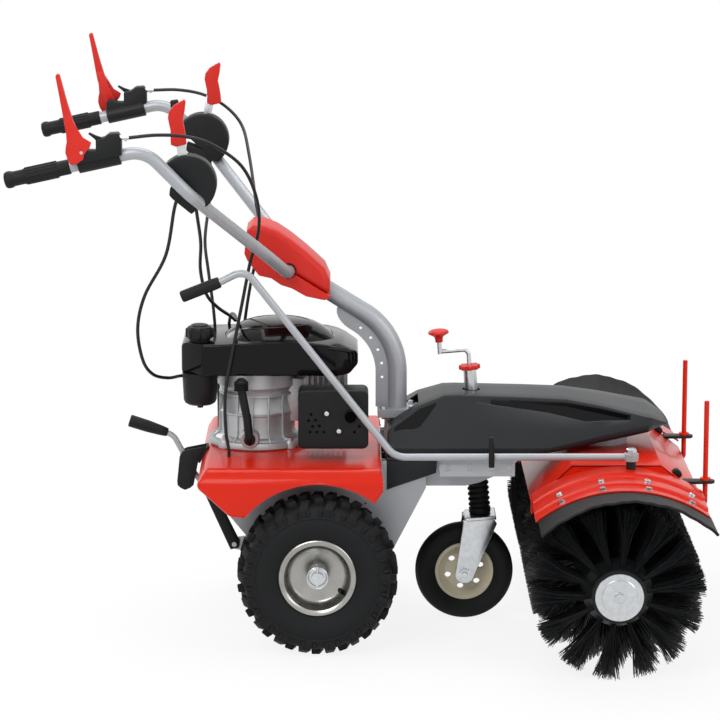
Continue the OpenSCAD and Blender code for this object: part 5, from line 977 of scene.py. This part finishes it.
knob = turned("crank_knob_dressed", [(5.1, 15), (7.4, 15), (8, 16), (8.4, 23), (10.4, 27.6), (18.6, 32),
                                     (21.6, 34), (22, 36), (20.4, 39), (14.6, 41.6), (6, 42.8), (0, 43),
                                     (0, 34), (5.1, 34)], up_stem(CRANK_Z, 5.3) + cross_way * CRANK_REACH,
              rake_way, 56)
dress(knob, 40, red_plastic, "red_plastic", "height_knob", "crank_knob")
ring_foot = up_stem(RING_Z, 0.3)
band = turned("band", [(5.1, 0), (18, 0), (19, 1), (19, 8), (18, 9), (5.1, 9)], ring_foot, rake_way, 48)
lobe = turned("lobe", [(0, 0), (5, 0), (5.5, 0.8), (5.5, 8.2), (5, 9), (0, 9)],
              ring_foot + cross_way * LOBE_OUT, rake_way, 20)
ring = joined("lock_ring_dressed", [band, copies("lobes", lobe, all_round(ring_foot, rake_way, LOBES))])
dress(ring, 35, red_plastic, "red_plastic", "height_lock", "lock_ring")

# Brush hood: red painted sheet steel, folded plates over the middle and stepped arches over each half of
# the brush. The folded middle is cut from its section, the arches are lofted over the brush, and end walls
# close the step.
HOOD_X, HOOD_Z, HOOD_REAR, HOOD_FRONT, HOOD_MID, HOOD_SHEET = 619, 81, 438, 788, 235, 3
BRUSH_X, BRUSH_Z, WALL_R, ARCH_ROWS = 600, 178, 184, 40


def thicken_down(sheet, thickness):
    """Merges a lofted sheet's points, turns it face up and gives it its thickness downwards."""
    tidy_mesh(sheet, 0.000001)
    if sum(face.normal.z * face.area for face in sheet.data.polygons) < 0:
        sheet.data.flip_normals()
    modify(sheet, "SOLIDIFY", thickness=thickness / 1000, offset=-1)


hood_fold = [(HOOD_REAR, 306), (520, 385), (705, 385), (HOOD_FRONT, 318)]
hood = [flat_plate("middle", hood_fold + [(HOOD_FRONT, 314.1), (704, 382), (522, 382), (440, 302.1)],
                   -HOOD_MID, HOOD_MID, edge=0.8)]
steps = [(HOOD_MID, 303), (292, 303), (295, 302.4), (297, 298.4), (299, 297), (355, 297), (358, 296.4),
         (360, 292.4), (362, 291), (397, 291), (400, 290.4)]
for turn in (-1, 1):
    rows = []
    for i in range(ARCH_ROWS + 1):
        x = HOOD_REAR + (HOOD_FRONT - HOOD_REAR) * i / ARCH_ROWS
        rows.append([(x, turn * y, HOOD_Z + math.sqrt(r * r - (x - HOOD_X) ** 2)) for y, r in steps])
    arch = loft("arch", rows)
    thicken_down(arch, HOOD_SHEET)
    over_brush = arc(BRUSH_X, BRUSH_Z, WALL_R, range(40, 141, 10))
    wall_side = hood_fold + [(HOOD_FRONT, 282)] + over_brush + [(HOOD_REAR, 282)]
    low, high = sorted((turn * HOOD_MID, turn * (HOOD_MID - HOOD_SHEET)))
    hood += [arch, flat_plate("wall", wall_side, low, high, edge=0)]
dress(joined("brush_hood_dressed", hood), 30, red_paint, "red_paint", "brush_head", "brush_hood")

# Rod foot, inner bolts and latches on the hood: a black bush with a nut for the steering rod, a second row
# of bolts on the stepped band, and two black latches on the front slope. Bolts and latches are copies.
ROD_X, ROD_Y, BOLT_Y, BOLT_ANGLES = 640, -257, 345, (-26, -9, 9, 27)
rod_axis = mm(ROD_X, ROD_Y, 0)
bush = turned("rod_foot", [(0, 364), (10, 364), (10, 396), (9, 399.6), (6, 399.6), (6, 417), (5, 418),
                           (0, 418)], rod_axis, (0, 0, 1), 32)
latch = flat_plate("hood_latch", [(0, 0), (20, 0), (20, 8), (14, 12), (4, 12), (0, 6)], -9, 9, edge=1.6,
                   segments=3)
latch.data.transform(Matrix.Translation(-mm(0, 0, 0)))
slope = Matrix.Rotation(math.atan2(385 - 318, HOOD_FRONT - 705), 4, "Y")
latches = copies("latches", latch, [Matrix.Translation(mm(729, turn * 207, 366)) @ slope for turn in (-1, 1)])
dress(joined("hood_fittings", [bush, latches]), 35, black_paint, "black_paint", "brush_head")
bolt = turned("bolt", [(0, 297.2), (8, 297.2), (8, 298.6), (6.8, 298.8), (6.8, 303), (5.6, 304.4),
                       (0, 304.4)], Vector((0, 0, 0)), (0, 0, 1), 12)
nut = turned("rod_nut", [(6.1, 416.3), (11, 416.3), (11, 424), (9, 426), (0, 426.4), (0, 418.2),
                         (6.1, 418.2)], rod_axis, (0, 0, 1), 6)
bolt_places = [Matrix.Translation(mm(HOOD_X, turn * BOLT_Y, HOOD_Z)) @
               Matrix.Rotation(math.radians(a), 4, "Y") for turn in (-1, 1) for a in BOLT_ANGLES]
bolts = joined("inner_bolts", [copies("bolts", bolt, bolt_places), nut])
dress(bolts, 30, zinc_plate, "zinc_steel", "brush_head")

# End flaps: thick black rubber strips under the hood's ends, sagging a little outwards over the brush's tips.
# Each is a sheet lofted round the brush, thickened, with a rolled outer edge; the left one is a dome.
FLAP_R, FLAP_IN, FLAP_WIDE, FLAP_THICK, FLAP_ROLL, FLAP_ROWS, FLAP_ACROSS = 287.0, 371, 151, 5, 3.0, 60, 12
HOOD_END, FLAP_FREE, DOME_HALF = 400, 126, 176
flaps = []
for turn, rise in ((-1, 12), (1, 55)):
    rows = []
    for i in range(FLAP_ROWS + 1):
        x = HOOD_REAR + 4.4 + (HOOD_FRONT + 1 - HOOD_REAR) * i / FLAP_ROWS
        bulge = max(0.0, 1 - ((x - HOOD_X) / DOME_HALF) ** 2) ** 0.85
        wave = math.sin(i * 0.45) + 0.6 * math.sin(i * 1.2 + 1) - 1.7
        row = []
        for j in range(FLAP_ACROSS + 1):
            y = FLAP_IN + FLAP_WIDE * j / FLAP_ACROSS
            out = max(0.0, (y - HOOD_END) / FLAP_FREE)
            r = FLAP_R + rise * bulge * out ** 1.1 + (FLAP_ROLL if j == FLAP_ACROSS else 0) + wave * out
            row.append((x, turn * y, HOOD_Z + math.sqrt(r * r - (x - HOOD_X) ** 2)))
        rows.append(row)
    flap = loft("flap", rows)
    thicken_down(flap, FLAP_THICK)
    soften(flap, 1.4, 2, 60)
    flaps.append(flap)
dress(joined("end_flaps_dressed", flaps), 40, soft_rubber, "rubber", "brush_head", "end_flaps")

# Box hooks: two upright red rods on dark tabs at the hood's front, bent under the tab, to hang a collecting
# box on. A rod is a drawn line with thickness and a rounded tip, a collar is turned, and a tab is cut with
# a round end.
HOOK_X, HOOK_Y, HOOK_D, TAB_Z, TAB_SHEET, TAB_REAR, TAB_HALF = 797, 215, 10.5, 344, 6, 752, 16
hooks, tabs = [], []
for y in (-HOOK_Y, HOOK_Y):
    upright = rounded_line([(HOOK_X, y, 515), (HOOK_X, y, 300), (765.6, y, 292)], 8)
    hooks += [rod("upright", upright, HOOK_D),
              turned("tip", [(0, 514), (5.2, 514), (4.6, 515.4), (3, 516), (0, 516)],
                     mm(HOOK_X, y, 0), (0, 0, 1), 24),
              turned("collar", [(5.3, 350.3), (11, 350.3), (11, 354), (10, 355.3), (5.3, 355.3)],
                     mm(HOOK_X, y, 0), (0, 0, 1), 32)]
    nose = arc(HOOK_X + 6, y, 13.4, range(-75, 76, 15))
    tabs.append(flat_plate("tab", [(TAB_REAR, y - TAB_HALF)] + nose + [(TAB_REAR, y + TAB_HALF)], TAB_Z,
                           TAB_Z + TAB_SHEET, "z", edge=1.2))
dress(joined("box_hooks_dressed", hooks), 35, red_paint, "red_rod", "brush_head", "box_hooks")
dress(joined("hook_tabs", tabs), 35, black_paint, "black_paint", "brush_head")

# Brush core: one shaft with a black drum for each half of the brush, closed by zinc plated caps and their
# bolts. Shaft, drums and caps are turned from their sections.
SHAFT_R, SHAFT_HALF, GAP_HALF = 14.9, 496, 48
heart = mm(BRUSH_X, 0, BRUSH_Z)
core, caps = [turned("shaft", bar_section(SHAFT_R, -SHAFT_HALF, SHAFT_HALF), heart, (0, 1, 0), 40)], []
drum_section = [(14, GAP_HALF), (69, GAP_HALF), (70, 50), (70, 456), (58, 476), (56, 480), (55.4, 496),
                (53, 499), (14, 499)]
cap_section = [(0, 499.2), (48.6, 499.2), (49, 499.8), (48, 501.4), (44, 501.6), (37, 499.9), (35.4, 500.6),
               (34.6, 503.4), (33, 504), (12, 504), (11.6, 506), (0, 506)]
bolt_section = [(0, 505), (10.2, 505), (10.2, 512), (8.6, 513.4), (0, 513.6)]
for turn in (-1, 1):
    core.append(turned("drum", drum_section, heart, (0, turn, 0), 72))
    caps += [turned("cap", cap_section, heart, (0, turn, 0), 72),
             turned("cap_bolt", bolt_section, heart, (0, turn, 0), 6)]
dress(joined("brush_core", core), 30, black_paint, "black_paint", "brush_roll", "brush_shaft")
dress(joined("brush_caps", caps), 30, zinc_plate, "zinc_steel", "brush_roll")

# Brush bristles: stiff black plastic strands set in tufts round two drums, splayed outwards to the tips.
# One strand is shaped from a slim cone, then copied into every tuft with its own lean, length and twist.
TUFT_ROWS, TUFTS_ROUND, STRANDS, ROW_TWIST = 22, 14, 46, 0.008
TIP_R, DRUM_R, DRUM_END_R, HALF_LEN = 175.6, 70.4, 57, 490
# Black plastic strands: dark, with a narrow shine along them that sets the tufts apart.
bristle_plastic = coat("black_bristle_plastic", "#0b0c0d", "#1e2022", 120.0, (0.34, 0.50), 900.0, 0.0001,
                       Specular_IOR_Level=0.45)
pick()
bpy.ops.mesh.primitive_cone_add(vertices=3, radius1=0.0010, radius2=0.0007, depth=1, end_fill_type="NOTHING",
                                location=(0, 0, 0.5))
strand = bpy.context.object
bpy.ops.object.mode_set(mode="EDIT")
bpy.ops.mesh.select_all(action="SELECT")
bpy.ops.mesh.bisect(plane_co=(0, 0, 0.55), plane_no=(0, 0, 1))
bpy.ops.object.mode_set(mode="OBJECT")
bpy.ops.object.transform_apply(location=True, rotation=False, scale=False)
pattern = np.array([vertex.co for vertex in strand.data.vertices])
side_step, y_step, share = pattern[:, 0], pattern[:, 1], pattern[:, 2]
pattern_faces = [tuple(face.vertices) for face in strand.data.polygons]
bpy.data.objects.remove(strand)
chance = np.random.default_rng(11)
for side, turn in (("right", -1), ("left", 1)):
    vertices, faces = [], []
    for row in range(TUFT_ROWS):
        row_y = GAP_HALF + 14 + (HALF_LEN - GAP_HALF - 26) * row / (TUFT_ROWS - 1)
        core_r = along([(452, DRUM_R), (478, DRUM_END_R)], row_y)
        for tuft in range(TUFTS_ROUND):
            shifted = tuft + 0.21 + ROW_TWIST * (TUFT_ROWS - row) ** 2
            base = 2 * math.pi * shifted / TUFTS_ROUND + chance.normal(0, 0.02)
            for _ in range(STRANDS):
                root = base + chance.uniform(-0.04, 0.04)
                lean, shift = chance.uniform(-0.13, 0.13), chance.normal(0, 6.0)
                reach = TIP_R - abs(chance.normal(0, 2.6)) - core_r
                angle = root + lean * share ** 1.3
                radius = (core_r + reach * share) / 1000
                strand_y = row_y + chance.normal(0, 2.4) + shift * share ** 1.4
                y = np.clip(strand_y, GAP_HALF + 2, HALF_LEN - 1) / 1000
                x = radius * np.cos(angle) - side_step * np.sin(angle)
                z = radius * np.sin(angle) + side_step * np.cos(angle)
                first = len(vertices)
                vertices += [tuple(p) for p in np.stack([x, turn * (y + y_step), z], axis=1)]
                faces += [tuple(first + v for v in face) for face in pattern_faces]
    mesh = bpy.data.meshes.new(side + "_bristles_dressed")
    mesh.from_pydata(vertices, [], faces)
    mesh.transform(Matrix.Translation(heart))
    bristles = bpy.data.objects.new(side + "_bristles_dressed", mesh)
    bpy.context.collection.objects.link(bristles)
    dress(bristles, 0, bristle_plastic, "bristle_plastic", "brush_roll", side + "_bristles")

# Steering rod: a grey painted rod from the hood's foot along the right side and up to a black grip at the
# handle. Rod, eye, hook and grip are drawn, turned and cut, and the hook drops into the notched plate.
ROD_Z, ROD_D, STEER_END_X, STEER_END_Z = 408, 15, -268, 742
rod_line = rounded_line([(632, ROD_Y, ROD_Z), (158, ROD_Y, ROD_Z), (-145, ROD_Y, 796), (-192, ROD_Y, 772),
                         (STEER_END_X, ROD_Y, STEER_END_Z)], 45, 10)
eye = turned("eye", [(6.1, 400), (14, 400), (15, 401), (15, 415), (14, 416), (6.1, 416)], rod_axis,
             (0, 0, 1), 40)
steering = joined("steering_rod_dressed", [rod("shaft", rod_line, ROD_D, 7), eye])
dress(steering, 40, grey_paint, "grey_paint", "steering", "steering_rod")
hook = flat_plate("steering_hook", [(349, 388), (361, 388), (361, 428), (358, 452), (350, 452), (349, 428)],
                  ROD_Y - 13.5, ROD_Y - 5.5, edge=2.4, segments=3)
dress(hook, 35, black_paint, "black_paint", "steering")
dip = math.radians(21.5)
steering_grip = turned("steering_grip", [(0, -6), (9, -6), (11.4, -4.6), (12, -2), (12, 66), (11.4, 75),
                                         (10.6, 77.4), (7.6, 78), (0, 78)],
                       mm(STEER_END_X, ROD_Y, STEER_END_Z), (math.cos(dip), 0, math.sin(dip)), 40)
dress(steering_grip, 40, soft_rubber, "rubber", "steering")

# Rear lever and its guard: a grey rod with a black tapered grip on a flat black arm, between two black
# cheeks. Arm and cheeks are cut from outlines, the rod is drawn, and the grip is turned.
REAR_Y, REAR_END_X, REAR_END_Z, CHEEK_OUT, CHEEK_HALF = -44, -392, 438, 14, 1.5
arm = flat_plate("rear_lever_dressed", [(-186, 160), (-168, 164), (-166, 178), (-226, 302), (-246, 296)],
                 REAR_Y - 3, REAR_Y + 3, edge=0.8)
cut_with(arm, turned("pin_room", bar_section(5.1, -20, 20), mm(-178, REAR_Y, 172), (0, 1, 0), 32))
dress(arm, 35, black_paint, "black_paint", "rear_selector", "rear_lever")
rear_line = rounded_line([(-232, REAR_Y, 288), (-262, REAR_Y, 328), (-282, REAR_Y, 366), (-304, REAR_Y, 408),
                          (REAR_END_X, REAR_Y, REAR_END_Z)], 30, 6)
dress(rod("rear_lever_rod", rear_line, 12), 40, grey_paint, "grey_paint", "rear_selector")
rear_grip = turned("rear_lever_grip", [(0, -4), (10.6, -4), (12.6, -2.6), (13, 0), (12.6, 36), (10.4, 68),
                                       (9, 78), (7.6, 80), (0, 80)], mm(REAR_END_X, REAR_Y, REAR_END_Z),
                   (0.951, 0, -0.309), 40)
dress(rear_grip, 40, soft_rubber, "rubber", "rear_selector")
cheek_side = [(-234, 387), (-276, 378.6), (-286, 374), (-291, 364), (-296.6, 312), (-296, 303), (-290, 297),
              (-280, 292.4), (-269, 297), (-262, 303), (-252, 353)]
guard = [flat_plate("guard_foot", [(-230, DECK_Z), (-248, 351), (-252, 353), (-234, 387)], REAR_Y - 20,
                    REAR_Y + 20, edge=0.8)]
for y in (REAR_Y - CHEEK_OUT, REAR_Y + CHEEK_OUT):
    guard.append(flat_plate("cheek", cheek_side, y - CHEEK_HALF, y + CHEEK_HALF, edge=0.9))
dress(joined("lever_guard_dressed", guard), 35, black_plastic, "black_plastic", "machine", "lever_guard")

# Pieces that keep their plain form: the frame, column, shafts, pulleys, bolts and castings of the drawing.
# Each takes the finish of its group, and the machined shafts and the muffler get finishes of their own.
# Machined steel: a clear grey metal reflection with faint clouds of tool marks.
machined_steel = coat("machined_steel", "#8d9093", "#a8abad", 50.0, (0.28, 0.42), 700.0, 0.0001, Metallic=1.0)
# Sooty steel: dark and dull, with brown clouds from the heat.
sooty_steel = coat("sooty_muffler_steel", "#1c1a18", "#302d2a", 45.0, (0.55, 0.75), 500.0, 0.0003,
                   Specular_IOR_Level=0.15)
kept = {
    grey_paint: ("chassis_frame", "handle_column", "notch_plate", "king_pin"),
    cast_alloy: ("finned_cylinder", "transmission_case", "drive_housing"),
    zinc_plate: ("axle_shaft", "frame_bolts", "hood_bolts", "crank_handle", "caster_sleeve", "axle_bearings"),
    machined_steel: ("crankshaft", "engine_pulley", "driven_pulley"),
    black_plastic: ("spark_plug",),
    soft_rubber: ("drive_belt",),
    sooty_steel: ("muffler",),
}
for finish, names in kept.items():
    for name in names:
        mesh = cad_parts[name].data
        mesh.materials.clear()
        mesh.materials.append(finish)
